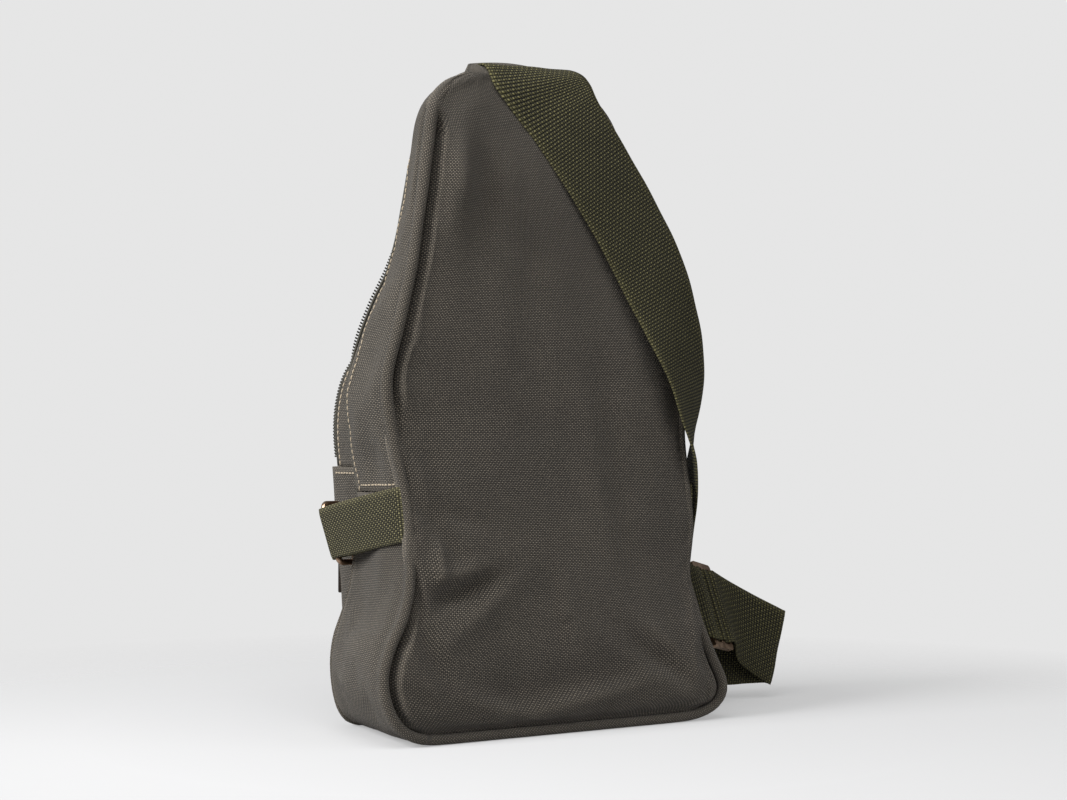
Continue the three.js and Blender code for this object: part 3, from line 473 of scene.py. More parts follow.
class Nodes:
    """A short way to write a node tree."""

    def __init__(self, name):
        self.material = bpy.data.materials.new(name)
        self.material.use_nodes = True
        self.tree = self.material.node_tree
        self.shader = self.tree.nodes["Principled BSDF"]

    def add(self, kind):
        return self.tree.nodes.new(kind)

    def set(self, socket, value):
        if isinstance(value, bpy.types.NodeSocket):
            self.tree.links.new(value, socket)
        else:
            socket.default_value = value

    def math(self, operation, a, b=0.0, c=None):
        node = self.add("ShaderNodeMath")
        node.operation = operation
        self.set(node.inputs[0], a)
        self.set(node.inputs[1], b)
        if c is not None:
            self.set(node.inputs[2], c)
        return node.outputs[0]

    def vector(self, operation, *values):
        """A vector maths node, with values for its first inputs in turn."""
        node = self.add("ShaderNodeVectorMath")
        node.operation = operation
        for socket, value in zip(node.inputs, values):
            self.set(socket, value)
        return node

    def mix(self, factor, a, b):
        node = self.add("ShaderNodeMix")
        node.data_type = "RGBA"
        self.set(node.inputs[0], factor)
        self.set(node.inputs[6], a)
        self.set(node.inputs[7], b)
        return node.outputs[2]

    def noise(self, vector, scale, detail=2.0, rough=0.5):
        node = self.add("ShaderNodeTexNoise")
        self.set(node.inputs["Vector"], vector)
        node.inputs["Scale"].default_value = scale
        node.inputs["Detail"].default_value = detail
        node.inputs["Roughness"].default_value = rough
        return node.outputs["Fac"]

    def spread(self, value, low, high, to_low=0.0, to_high=1.0):
        node = self.add("ShaderNodeMapRange")
        self.set(node.inputs["Value"], value)
        node.inputs["From Min"].default_value = low
        node.inputs["From Max"].default_value = high
        node.inputs["To Min"].default_value = to_low
        node.inputs["To Max"].default_value = to_high
        return node.outputs["Result"]

    def object_place(self):
        return self.add("ShaderNodeTexCoord").outputs["Object"]

    def cloth_place(self):
        node = self.add("ShaderNodeUVMap")
        node.uv_map = "cloth"
        return node.outputs["UV"]

    def wear_and_crest_highlight(self):
        """From 0 on level cloth or metal to 1 on crests and edges: wear on the metal, and on the cloth wear
        together with a painted highlight on its crests.
        """
        node = self.add("ShaderNodeNewGeometry")
        return self.spread(node.outputs["Pointiness"], 0.51, 0.6)

    def bump(self, height, strength, distance):
        node = self.add("ShaderNodeBump")
        node.inputs["Strength"].default_value = strength
        node.inputs["Distance"].default_value = distance
        self.set(node.inputs["Height"], height)
        return node.outputs["Normal"]

    def weave(self, place, pitch_u, pitch_v):
        """Height of a plain weave, 0 in the gaps to 1 on the threads, and which thread is on top."""
        split = self.add("ShaderNodeSeparateXYZ")
        self.set(split.inputs[0], place)
        su = self.math("SINE", self.math("MULTIPLY", split.outputs[0], math.pi / pitch_u))
        sv = self.math("SINE", self.math("MULTIPLY", split.outputs[1], math.pi / pitch_v))
        top = self.math("GREATER_THAN", self.math("MULTIPLY", su, sv), 0.0)
        au, av = self.math("ABSOLUTE", su), self.math("ABSOLUTE", sv)
        warp = self.math("MULTIPLY", au, self.math("MULTIPLY_ADD", av, 0.5, 0.5))
        weft = self.math("MULTIPLY", av, self.math("MULTIPLY_ADD", au, 0.5, 0.5))
        difference = self.math("SUBTRACT", warp, weft)
        return self.math("MULTIPLY_ADD", difference, top, weft), top


# How much duller the gaps of a surface are than its roughness, and how much glossier its crests
DULLER, GLOSSIER = 0.08, 0.1
# Painted highlight and wear on the cloth's crests: share of the light thread colour mixed in, and roughness
# that wear takes off
CREST_HIGHLIGHT, WEAR_POLISHES = 0.22, 0.12
FUZZ_HEIGHT = 0.35
PATINA_SCALE = 140.0
BRUSHED = (900.0, 60.0, 60.0)


def cloth_material(name, gap_shade, mid, thread_highlight, pitch, strength, rough, sheen, streak, depth, even):
    """Woven cloth, with painted shade in its gaps and a painted highlight on its threads. even: share of
    the painted highlight on the under threads.
    """
    m = Nodes(name)
    uv = m.cloth_place()
    place = m.object_place()
    sway = m.vector("MULTIPLY_ADD", m.noise(uv, 0.25, 2.0), (0.5, 0.5, 0.0), uv)
    height, top = m.weave(sway.outputs[0], *pitch)
    # Painted shade: the colour goes dark in the gaps between the threads
    shade = m.mix(m.spread(height, 0.25, 0.95), (*gap_shade, 1), (*mid, 1))
    fleck = m.spread(m.noise(uv, 0.6, 2.0, 0.7), 0.25, 0.7, 0.35, 1.0)
    # Painted highlight on the raised threads, strongest on the threads on top
    upper = m.math("MULTIPLY", m.math("MULTIPLY_ADD", top, 1 - even, even), fleck)
    thread_highlight_mask = m.math("MULTIPLY", m.spread(height, 0.35, 0.95), upper)
    shade = m.mix(thread_highlight_mask, shade, (*thread_highlight, 1))
    # Painted highlight on crests and edges, lightened towards the highlight colour, with some wear there
    # too
    crest_mask = m.wear_and_crest_highlight()
    shade = m.mix(m.math("MULTIPLY", crest_mask, CREST_HIGHLIGHT), shade, (*thread_highlight, 1))
    broad = m.spread(m.noise(place, 9.0, 3.0, 0.6), 0.3, 0.7, 1 - 0.1 * streak, 1 + 0.1 * streak)
    fine = m.spread(m.noise(place, 60.0, 3.0, 0.6), 0.3, 0.7, 1 - 0.07 * streak, 1 + 0.07 * streak)
    toned = m.vector("SCALE", shade)
    m.set(toned.inputs["Scale"], m.math("MULTIPLY", broad, fine))
    m.set(m.shader.inputs["Base Color"], toned.outputs[0])
    level = m.spread(height, 0, 1, rough + DULLER, rough - GLOSSIER)
    rubbed = m.math("MULTIPLY", crest_mask, WEAR_POLISHES)
    m.set(m.shader.inputs["Roughness"], m.math("SUBTRACT", level, rubbed))
    m.shader.inputs["Sheen Weight"].default_value = sheen
    m.shader.inputs["Sheen Roughness"].default_value = 0.5
    m.shader.inputs["Specular IOR Level"].default_value = 0.25
    rise = m.math("MULTIPLY_ADD", m.noise(uv, 1.6, 3.0, 0.6), FUZZ_HEIGHT, height)
    m.set(m.shader.inputs["Normal"], m.bump(rise, strength, depth * MM))
    return m.material


def metal_material(name, colour, worn, rough):
    m = Nodes(name)
    place = m.object_place()
    patina = m.spread(m.noise(place, PATINA_SCALE, 4.0, 0.6), 0.42, 0.62)
    patina = m.math("MAXIMUM", patina, m.wear_and_crest_highlight())
    m.set(m.shader.inputs["Base Color"], m.mix(patina, (*colour, 1), (*worn, 1)))
    m.shader.inputs["Metallic"].default_value = 1.0
    m.set(m.shader.inputs["Roughness"], m.spread(patina, 0.0, 1.0, rough, rough * 0.65))
    stretch = m.vector("MULTIPLY", place, BRUSHED)
    m.set(m.shader.inputs["Normal"], m.bump(m.noise(stretch.outputs[0], 1.0, 2.0), 0.12, 0.05 * MM))
    return m.material


def plain_material(name, colour, other, scale, rough, bump=0.1, sheen=0.0):
    m = Nodes(name)
    place = m.object_place()
    mottle = m.noise(place, scale, 3.0)
    m.set(m.shader.inputs["Base Color"], m.mix(mottle, (*colour, 1), (*other, 1)))
    m.set(m.shader.inputs["Roughness"], m.spread(mottle, 0.3, 0.7, rough + DULLER, rough - GLOSSIER))
    m.shader.inputs["Sheen Weight"].default_value = sheen
    m.shader.inputs["Specular IOR Level"].default_value = 0.4
    m.set(m.shader.inputs["Normal"], m.bump(m.noise(place, scale * 8, 2.0), bump, 0.2 * MM))
    return m.material


# Each cloth's colours: painted shade in the weave's gaps, the threads' own colour, and a painted highlight
# on the threads
canvas = cloth_material(
    "canvas",
    gap_shade=(0.005, 0.0042, 0.0032),
    mid=(0.046, 0.0395, 0.0315),
    thread_highlight=(0.31, 0.265, 0.205),
    pitch=(0.98, 0.98),
    strength=1.0,
    rough=0.9,
    sheen=0.1,
    streak=1.2,
    depth=0.6,
    even=0.15,
)
webbing = cloth_material(
    "webbing",
    gap_shade=(0.0016, 0.0015, 0.0006),
    mid=(0.021, 0.0195, 0.0075),
    thread_highlight=(0.205, 0.186, 0.074),
    pitch=(1.95, 1.45),
    strength=1.0,
    rough=0.8,
    sheen=0.03,
    streak=1.2,
    depth=1.3,
    even=0.38,
)
tab_webbing = cloth_material(
    "tab_webbing",
    gap_shade=(0.002, 0.0018, 0.0007),
    mid=(0.028, 0.0255, 0.0115),
    thread_highlight=(0.36, 0.325, 0.165),
    pitch=(1.5, 1.15),
    strength=1.0,
    rough=0.8,
    sheen=0.03,
    streak=1.2,
    depth=1.4,
    even=0.15,
)
tape_cloth = cloth_material(
    "zip_tape",
    gap_shade=(0.012, 0.011, 0.008),
    mid=(0.034, 0.031, 0.023),
    thread_highlight=(0.07, 0.064, 0.047),
    pitch=(0.5, 0.5),
    strength=0.7,
    rough=0.85,
    sheen=0.15,
    streak=0.8,
    depth=0.15,
    even=0.3,
)
coil_plastic = plain_material("zip_coil", (0.016, 0.015, 0.010), (0.034, 0.031, 0.022), 300.0, 0.6)
thread = plain_material("thread", (0.46, 0.38, 0.27), (0.31, 0.25, 0.175), 500.0, 0.75, 0.4, 0.2)
brass = metal_material("aged_brass", (0.16, 0.095, 0.06), (0.52, 0.36, 0.25), 0.4)
dark_metal = metal_material("dark_metal", (0.055, 0.045, 0.036), (0.12, 0.095, 0.075), 0.4)

BAG = "bag"


def finish_piece(obj, slot_name, *nodes):
    if nodes:
        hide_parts(*nodes)
    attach(obj, BAG)


# Stitches

STITCH_PITCH, STITCH_LENGTH, STITCH_RADIUS, STITCH_TILT = 3.5, 2.6, 0.5, 0.12
# Along half a stitch from its middle, and its thickness there as a share
STITCH_SHAPE = [(-1.0, 0.25), (-0.72, 0.85), (0.0, 1.0), (0.72, 0.85), (1.0, 0.25)]


def stitch_mesh(path, normals):
    """Small rounded dashes along a path, each lying on the cloth."""
    run = running_length(path)
    verts, faces = [], []
    for s in np.arange(STITCH_PITCH / 2, run[-1] - STITCH_PITCH / 2, STITCH_PITCH):
        p = at_length(s, run, path)
        n = unit(at_length(s, run, normals))
        t = unit(at_length(s + 0.5, run, path) - p)
        side = unit(np.cross(t, n))
        t = unit(t + side * rng.uniform(-STITCH_TILT, STITCH_TILT))
        p = p + n * STITCH_RADIUS * 0.55
        faces += bead_faces(len(verts), len(STITCH_SHAPE))
        for along, fat in STITCH_SHAPE:
            sink = -0.35 * STITCH_RADIUS * along * along
            for k in range(BEAD_SIDES):
                angle = 2 * math.pi * k / BEAD_SIDES
                offset = side * math.cos(angle) + n * math.sin(angle) * 0.75
                verts.append(p + t * along * STITCH_LENGTH / 2 + n * sink + offset * STITCH_RADIUS * fat)
    return verts, faces


def stitches(name, lines):
    """One piece of stitching from several lines of (path, normals)."""
    verts, faces = [], []
    for path, normals in lines:
        v, f = stitch_mesh(path, normals)
        faces += [tuple(i + len(verts) for i in face) for face in f]
        verts += v
    finish_piece(make(name, verts, faces, thread), "canvas")


# Cloth settling

SETTLE_FRAMES = 16


def settle(obj, held, slack, pressure, cap):
    """Lets a cloth wall settle with its edges held. No point moves by more than cap millimetres."""
    start = mesh_points(obj.data)
    group = obj.vertex_groups.new(name="held")
    group.add([int(i) for i in held], 1.0, "REPLACE")
    cloth = obj.modifiers.new("settle", "CLOTH")
    s = cloth.settings
    s.quality = 6
    s.mass = 0.15
    s.tension_stiffness = 30
    s.compression_stiffness = 30
    s.shear_stiffness = 15
    s.bending_stiffness = 4
    s.vertex_group_mass = "held"
    s.shrink_min = -slack
    s.use_pressure = True
    s.uniform_pressure_force = pressure
    s.effector_weights.gravity = 0.15
    cloth.collision_settings.use_collision = False
    cloth.collision_settings.use_self_collision = False
    cloth.point_cache.frame_start = 1
    cloth.point_cache.frame_end = SETTLE_FRAMES
    for f in range(1, SETTLE_FRAMES + 1):
        scene.frame_set(f)
    shaped = obj.evaluated_get(bpy.context.evaluated_depsgraph_get()).to_mesh()
    moved = mesh_points(shaped) - start
    obj.modifiers.remove(cloth)
    scene.frame_set(1)
    length = np.linalg.norm(moved, axis=1)
    limit = cap * MM
    factor = np.where(length > TINY, limit * np.tanh(length / limit) / np.maximum(length, TINY), 0)
    obj.data.vertices.foreach_set("co", (start + moved * factor[:, None]).ravel())
    obj.data.update()
    print("settled", obj.name, "by up to", round(float(length.max() / MM), 2), "mm")


def cloth_wall(name, grid, out, slack, pressure, cap, keep=1):
    """A canvas wall that settles as cloth and is thickened inwards. keep: rows held at each edge."""
    n, m = grid.shape[:2]
    trial = make(name + "_trial", grid.reshape(-1, 3), grid_faces(n, m), canvas)
    index = np.arange(n * m).reshape(n, m)
    edges = index[:, :keep], index[:, m - keep :], index[:keep], index[n - keep :]
    held = np.unique(np.concatenate([edge.ravel() for edge in edges]))
    settle(trial, held, slack, pressure, cap)
    grid = mesh_points(trial.data).reshape(n, m, 3) / MM
    bpy.data.objects.remove(trial, do_unlink=True)
    return shell(name, grid, canvas, CANVAS, out), grid


# The roll of cloth round the back panel

ROLL_SIDES = 16
# Corners are rounded below this height, in so many passes
CORNER_HEIGHT, CORNER_PASSES = 16, 10
BACK_UPS = even_ups(back_edge, 0, 1, LOOP_STEP)
roll_loop, _ = outline(back_edge, BACK_UPS, TOP_CROWN, True)


def roll_radius(z):
    return CORD_RADIUS + (ROLL_RADIUS - CORD_RADIUS) * ramp(np.asarray(z) / BODY_HEIGHT, 0.36, 0.5)


def soften_corner(points):
    """Rounds the corners of a loop or strip near the floor."""
    for _ in range(CORNER_PASSES):
        middle = (np.roll(points, -1, 0) + np.roll(points, 1, 0)) / 2
        share = 0.5 * np.clip((CORNER_HEIGHT - points[..., 2:3]) / CORNER_HEIGHT, 0, 1)
        share[0], share[-1] = 0, 0
        points = points + (middle - points) * share
    return points


def build_roll():
    wobble = 1.03 + 0.08 * smooth_noise(roll_loop, 38, 3)
    wobble = np.where(roll_loop[:, 2] < 12, 1.0, wobble)
    # The loop is turned so that neither of its ends is at a corner
    turn = len(BACK_UPS)
    path = np.roll(soften_corner(np.roll(roll_loop, -turn, 0)), turn, 0)
    path, normals = with_normals(path, True)
    axes = (normals, np.broadcast_to(Y, normals.shape))
    verts, faces = tube_mesh(path, roll_radius(roll_loop[:, 2]) * wobble, axes, ROLL_SIDES, True)
    around = np.arange(ROLL_SIDES) * (2 * math.pi * ROLL_RADIUS / ROLL_SIDES)
    obj = closed_mesh("back_roll", verts, faces, canvas, uv_rows(running_length(roll_loop), around))
    finish_piece(obj, "canvas", "back_piping")


# Soft dents and folds: place (x, z), direction in degrees from the x axis, half length, half width, height
BACK_FOLDS = [
    (50, 314, 100, 26, 10, 5.0),
    (33, 300, 100, 46, 12, -2.4),
    (20, 322, 80, 30, 9, 1.0),
    (80, 97, 100, 12, 5, 3.2),
    (70, 92, 172, 20, 4, 3.4),
    (64, 82, 160, 24, 5, -4.6),
    (54, 71, 145, 26, 7, 3.0),
    (80, 118, 50, 26, 5, -2.4),
    (62, 122, 15, 20, 5, -1.8),
    (86, 142, 80, 20, 4, 1.6),
    (-80, 40, 38, 34, 6, 3.4),
    (-68, 38, 32, 36, 6, -2.8),
    (-54, 34, 28, 30, 7, 2.0),
    (-92, 62, 60, 24, 5, -2.2),
    (-28, 160, 84, 60, 8, 1.3),
    (-44, 150, 86, 60, 8, -1.1),
    (6, 250, 100, 60, 12, -1.2),
    (10, 28, 175, 60, 8, -1.8),
    (58, 24, 20, 30, 6, 2.2),
    (86, 50, 70, 26, 6, -2.2),
    (-20, 22, 170, 40, 6, 1.6),
]


def folds(x, z, table):
    rise = np.zeros_like(x)
    for fx, fz, degrees, long, wide, height in table:
        angle = math.radians(degrees)
        du, dv = x - fx, z - fz
        along = du * math.cos(angle) + dv * math.sin(angle)
        off = -du * math.sin(angle) + dv * math.cos(angle)
        rise += height * np.exp(-((along / long) ** 2) - (off / wide) ** 2)
    return rise


def edge_distance(grid, loop):
    """Distance of each grid point from a loop, seen from behind."""
    flat = grid.reshape(-1, 3)[:, [0, 2]]
    best = np.full(len(flat), np.inf)
    for p in loop[:, [0, 2]]:
        best = np.minimum(best, np.hypot(*(flat - p).T))
    return best.reshape(grid.shape[:2])


def inner_distance(grid):
    """Distance of each grid point from the grid's own edge, seen from behind."""
    return edge_distance(grid, np.concatenate([grid[:, 0], grid[-1], grid[::-1, -1], grid[0]]))


def two_sides(edge, ups, crown):
    """Points and normals of an outline's left side, then of its right side, each from the foot up."""
    points, normals = outline(edge, ups, crown, True)
    n = len(ups)
    right = slice(n + TOP_STEPS - 1, 2 * n + TOP_STEPS - 1)
    return points[:n], normals[:n], points[right][::-1], normals[right][::-1]


def panel_rows(edge, ups, inset, columns, crowded=0.0):
    """Rows from the left edge to the right edge of a panel, drawn in from its outline."""
    left, left_n, right, right_n = two_sides(edge, ups, TOP_CROWN)
    t = np.linspace(0, 1, columns + 1)
    t = t - crowded * np.sin(2 * math.pi * t)
    grid = []
    for i in range(len(ups)):
        a = left[i] - left_n[i] * inset(left[i])
        b = right[i] - right_n[i] * inset(right[i])
        grid.append(a + (b - a) * t[:, None])
    grid[-1][:, 2] += TOP_CROWN * 4 * t * (1 - t)
    return np.array(grid)


def drawn_over(x, z):
    """How far the panel is drawn out over the roll: 1 where its cloth hides the roll."""
    up = np.asarray(z) / BODY_HEIGHT
    middle = ramp(up, 0.2, 0.28) * (1 - ramp(up, 0.43, 0.52))
    left = np.maximum(middle, ramp(up, 0.9, 0.95))
    return np.where(np.asarray(x) > 0, left, ramp(up, 0.09, 0.16))


def build_back():
    def inset(p):
        radius = roll_radius(p[2])
        return radius + 0.6 - (2 * radius + 1.4) * drawn_over(p[0], p[2])

    grid = panel_rows(back_edge, BACK_UPS, inset, 70, 0.1)
    grid[-1, :, 2] += ROLL_RADIUS + 0.8
    # The lowest row lies inside the roll, so no gap shows at the bottom seam
    grid[0, :, 2] = CORD_RADIUS * 0.6
    x, z = grid[..., 0], grid[..., 2]
    up = z / BODY_HEIGHT
    over = drawn_over(x, z)
    distance = np.maximum(edge_distance(grid, roll_loop) - CORD_RADIUS, 0)
    crown = 1 - np.exp(-distance / 26)
    lip = 1 - np.exp(-np.maximum(distance - 0.4, 0) / 3.2)
    turned = np.sqrt(1 - (1 - np.clip(inner_distance(grid) / 10, 0, 1)) ** 2)
    corner = (1 - ramp(up, 0.14, 0.2)) * ramp(x, 20, 60) * ramp(z, 9, 22)
    upper = np.maximum(ramp(up, 0.44, 0.52), corner)
    low_edge = -1.6 + 4.6 * lip
    high_edge = -4.5 + 8.6 * ramp(distance, 1.6, 5.2)
    rise = (1 - over) * ((1 - upper) * low_edge + upper * high_edge) + over * (-2.6 + 7.4 * turned)
    soft = np.clip(distance / 12, 0, 1)
    rise += 3.6 * crown + soft * (folds(x, z, BACK_FOLDS) + 1.1 * smooth_noise(grid, 95, 11))
    rise += np.clip(distance / 3, 0, 1) * np.exp(-distance / 16) * 0.7 * smooth_noise(grid, 22, 17)
    grid[..., 1] += rise
    obj, _ = cloth_wall("back_panel_cloth", grid, Y, slack=0.006, pressure=0.6, cap=2.0, keep=3)
    finish_piece(obj, "canvas", "back_panel")


# Gusset dents: share of the way along its outline (0 at the left foot), share from back to front,
# half lengths in those shares and depth in millimetres
GUSSET_FOLDS = [
    (0.035, 0.5, 0.016, 0.3, -4.0),
    (0.06, 0.75, 0.010, 0.5, 3.0),
    (0.085, 0.35, 0.009, 0.25, -4.2),
    (0.1, 0.8, 0.014, 0.12, -3.6),
    (0.112, 0.3, 0.010, 0.12, -4.6),
    (0.125, 0.6, 0.010, 0.2, 3.4),
    (0.145, 0.4, 0.008, 0.3, 2.8),
    (0.165, 0.7, 0.010, 0.2, -2.6),
    (0.2, 0.3, 0.016, 0.2, 1.6),
    (0.245, 0.45, 0.014, 0.22, -4.4),
    (0.262, 0.6, 0.010, 0.2, 2.6),
    (0.3, 0.5, 0.02, 0.3, -1.8),
]


def gusset_points(back, normals, front, columns, seed):
    t = np.linspace(0, 1, columns + 1)
    radius = roll_radius(back[:, 2])
    start = back + normals * (radius * 0.98)[:, None]
    start[:, 1] -= 0.2
    end = front + normals * (CANVAS / 2)
    flat = np.clip(1 + normals[:, 2] * 1.4, 0, 1)
    grid = start[:, None] + (end - start)[:, None] * t[None, :, None]
    swell = GUSSET_SWELL * np.sin(np.pi * t)[None] * flat[:, None]
    tuck = -1.1 * np.exp(-(((t - 0.06) / 0.05) ** 2))[None] * flat[:, None]
    ripple = 1.1 * smooth_noise(grid, 60, seed) * np.sin(np.pi * t)[None] * flat[:, None]
    grid += normals[:, None] * (swell + tuck + ripple)[..., None]
    return grid, flat


def add_gusset_folds(grid, normals, flat, shares):
    t = np.linspace(0, 1, grid.shape[1])
    rise = np.zeros(grid.shape[:2])
    for at, across, long, wide, depth in GUSSET_FOLDS:
        for centre in (at, 1 - at):
            off = (shares - centre) / long
            rise += depth * np.exp(-(off[:, None] ** 2) - ((t - across) / wide)[None] ** 2)
    rise *= np.sin(np.pi * t)[None] ** 0.5 * flat[:, None]
    return grid + normals[:, None] * rise[..., None]


def round_base(edge, ups):
    """Points and outward normals down an outline's left side, along the base and up its right side."""
    left = [edge(1, up) for up in ups]
    right = [edge(-1, up) for up in ups[::-1]]
    points, normals = with_normals(np.array(left + base_points(left[-1], right[0]) + right), False)
    return points, -normals


# Columns of the upper gusset, and the column that its front row of stitches follows
UPPER_COLUMNS, STITCH_COLUMN = 20, 18
# Share of the gusset's outline that each half of the base part takes
BASE_SHARE = 0.23
SEAM_ROLL_RADIUS, SEAM_ROLL_END, SEAM_ROLL_SIDES = 1.9, 1.1, 12


def build_gusset():
    share = SEAM_GAP / BODY_HEIGHT
    ups = even_ups(back_edge, GUSSET_SEAM_UP + share / 2, 1, LOOP_STEP)
    back, normals = outline(back_edge, ups, TOP_CROWN, False)
    front, _ = outline(front_edge, ups, TOP_CROWN, False)
    grid, flat = gusset_points(back, normals, front, UPPER_COLUMNS, 21)
    shares = BASE_SHARE + 0.54 * np.linspace(0, 1, len(back))
    grid = add_gusset_folds(grid, normals, flat, shares)
    obj, grid = cloth_wall("gusset_upper_cloth", grid, normals[:, None], slack=0.004, pressure=0.2, cap=2.0)
    finish_piece(obj, "canvas", "gusset_upper")
    faces_out = grid_normals(grid)
    if (faces_out * normals[:, None]).sum() < 0:
        faces_out = -faces_out
    lines = [(grid[:, STITCH_COLUMN], faces_out[:, STITCH_COLUMN])]
    for row in (1, -2):
        lines.append((grid[row, : STITCH_COLUMN + 1], faces_out[row, : STITCH_COLUMN + 1]))

    ups = even_ups(back_edge, 0, GUSSET_SEAM_UP - share / 2, LOOP_STEP)[::-1]
    back, normals = round_base(back_edge, ups)
    front, _ = round_base(front_edge, ups)
    grid, flat = gusset_points(back, normals, front, 26, 5)
    half = len(back) / 2
    shares = np.abs(np.arange(len(back)) - half) / half * BASE_SHARE
    grid = add_gusset_folds(grid, normals, flat, shares)
    grid = soften_corner(grid)
    grid[..., 2] = np.maximum(grid[..., 2], 0)
    obj, _ = cloth_wall("gusset_base_cloth", grid, normals[:, None], slack=0.004, pressure=0.2, cap=2.0)
    verts = mesh_points(obj.data)
    verts[:, 2] = np.maximum(verts[:, 2], 0)
    obj.data.vertices.foreach_set("co", verts.ravel())
    finish_piece(obj, "canvas", "gusset_base")
    stitches("gusset_stitching", lines)

    # The rolled front seam under the main zip
    keep = front[:, 2] < ZIP_END_UP * BODY_HEIGHT
    line = front[keep] + normals[keep] * -0.4
    line[:, 1] -= 0.8
    line[:, 2] = np.maximum(line[:, 2], SEAM_ROLL_RADIUS)
    radius = SEAM_ROLL_RADIUS + 0.25 * smooth_noise(line, 30, 9)
    radius[:2], radius[-2:] = SEAM_ROLL_END, SEAM_ROLL_END
    radius = np.minimum(radius, line[:, 2])
    axes = (normals[keep], np.broadcast_to(Y, line.shape))
    verts, faces = tube_mesh(line, radius, axes, SEAM_ROLL_SIDES, False)
    uvs = uv_rows(running_length(line), np.arange(float(SEAM_ROLL_SIDES)))
    finish_piece(closed_mesh("front_seam_roll", verts, faces, canvas, uvs), "canvas")


# Zips

TOOTH_PITCH = 1.8
TOOTH_ALONG, TOOTH_HIGH = 0.52, 0.5
# Half a tooth from the coil's middle: share of half the coil's width, share of its height, thickness
TOOTH_SHAPE = [(0.08, 0.15, 0.55), (0.3, 0.42, 0.9), (0.62, 0.5, 1.0), (0.9, 0.2, 0.85), (1.0, -0.3, 0.5)]
TAPE_COLUMNS, WALL_COLUMNS, FACE_COLUMNS = 6, 12, 34


def zip_point(points, normals, reach, turn, t):
    p = points + normals * (0.4 - reach * t)
    p[:, 1] -= TAPE / 2 + SEAM_GAP + turn * t
    return p


def facing_front(across, along):
    """Directions square to both, turned to the front of the bag."""
    out = units(np.cross(across, along))
    return out * np.where(out[:, 1] > 0, -1, 1)[:, None]


def build_teeth(name, centre, across, out):
    """Rounded teeth of a coil zip in two rows along a path."""
    run = running_length(centre)
    verts, faces = [], []
    for number, s in enumerate(np.arange(TOOTH_PITCH, run[-1] - TOOTH_PITCH, TOOTH_PITCH / 2)):
        p = at_length(s, run, centre)
        a = unit(at_length(s, run, across))
        o = unit(at_length(s, run, out))
        t = unit(np.cross(a, o))
        sign = 1 if number % 2 else -1
        faces += bead_faces(len(verts), len(TOOTH_SHAPE))
        for far, rise, fat in TOOTH_SHAPE:
            q = p + a * sign * (far - 0.12) * COIL_WIDTH / 2 + o * (rise * COIL_HEIGHT * 0.8)
            for k in range(BEAD_SIDES):
                angle = 2 * math.pi * k / BEAD_SIDES
                around = t * math.cos(angle) * TOOTH_ALONG + o * math.sin(angle) * TOOTH_HIGH
                verts.append(q + around * fat)
    finish_piece(closed_mesh(name + "_teeth", verts, faces, coil_plastic), "zip_coil", name + "_coil")


def build_zip(name, points, normals, reach, turn, side_turn=0.0):
    # On the left the zip is turned outwards, so its teeth show past the gusset
    up = points[:, 2] / BODY_HEIGHT
    shown = ramp(points[:, 0], 15, 50) * ramp(up, 0.52, 0.6) * (1 - ramp(up, 0.68, 0.78))
    lean = (shown * side_turn)[:, None] * (normals - 0.45 * Y)
    inner = zip_point(points, normals, reach, turn, 1) + lean
    outer = zip_point(points, normals, reach, turn, 0) + lean * 0.5
    across = units(inner - outer)
    out = facing_front(across, np.gradient(points, axis=0))
    columns = [outer + (inner - outer) * t for t in np.linspace(0, 1, TAPE_COLUMNS + 1)]
    grid = np.array(columns).transpose(1, 0, 2) + out[:, None] * TAPE / 2
    tape = shell(name + "_tape_cloth", grid, tape_cloth, TAPE, out[:, None])
    finish_piece(tape, "zip_tape", name + "_tape")
    middle = (outer + inner) / 2 + out * (TAPE / 2 + 0.55) + lean
    build_teeth(name, middle[1:-1], across[1:-1], out[1:-1])


def build_front():
    ups = even_ups(front_edge, ZIP_END_UP, 1, LOOP_STEP)
    points, normals = outline(front_edge, ups, TOP_CROWN, False)
    build_zip("main_zip", points, normals, ZIP_WIDTH, ZIP_TURN, 2.2)

    low = even_ups(front_edge, 0, ZIP_END_UP - 2 * SEAM_GAP / BODY_HEIGHT, PANEL_STEP)
    high = even_ups(front_edge, ZIP_END_UP, 1, PANEL_STEP)
    all_ups = np.concatenate([low, high])

    def inset(p):
        return 0.2 if p[2] < ZIP_END_UP * BODY_HEIGHT - 0.2 else ZIP_WIDTH + SEAM_GAP

    grid = panel_rows(front_edge, all_ups, inset, 40)
    below = (np.arange(len(all_ups)) < len(low))[:, None]
    grid[..., 1] -= CANVAS + SEAM_GAP + np.where(below, FRONT_STAND, ZIP_TURN)
    grid[..., 2] = np.maximum(grid[..., 2], CANVAS / 2 + SEAM_GAP)
    crown = 1 - np.exp(-inner_distance(grid) / 18)
    grid[..., 1] -= crown * (1.4 + 0.8 * smooth_noise(grid, 80, 31))
    obj, _ = cloth_wall("front_panel_cloth", grid, -Y, slack=0.004, pressure=0.2, cap=1.4)
    finish_piece(obj, "canvas", "front_panel")


def pocket_wall(name, points, stop, node):
    """A wall of the pocket from the front panel out to its face."""
    start = points.copy()
    start[:, 1] = [front_face(z) - SEAM_GAP for z in points[:, 2]]
    end = points.copy()
    end[:, 1] += stop
    _, normals = with_normals(points, False)
    t = np.linspace(0, 1, WALL_COLUMNS + 1)
    grid = start[:, None] + (end - start)[:, None] * t[None, :, None]
    sign = np.where((normals * (points - np.array(POCKET_CENTRE))).sum(1) < 0, -1, 1)
    normals = normals * sign[:, None]
    hump = np.sin(np.pi * t)[None]
    bulge = 0.9 * hump + 0.5 * smooth_noise(grid, 45, 41) * hump
    grid = grid + normals[:, None] * (CANVAS / 2 + bulge)[..., None]
    finish_piece(shell(name, grid, canvas, CANVAS, normals[:, None]), "canvas", node)
    return grid, normals


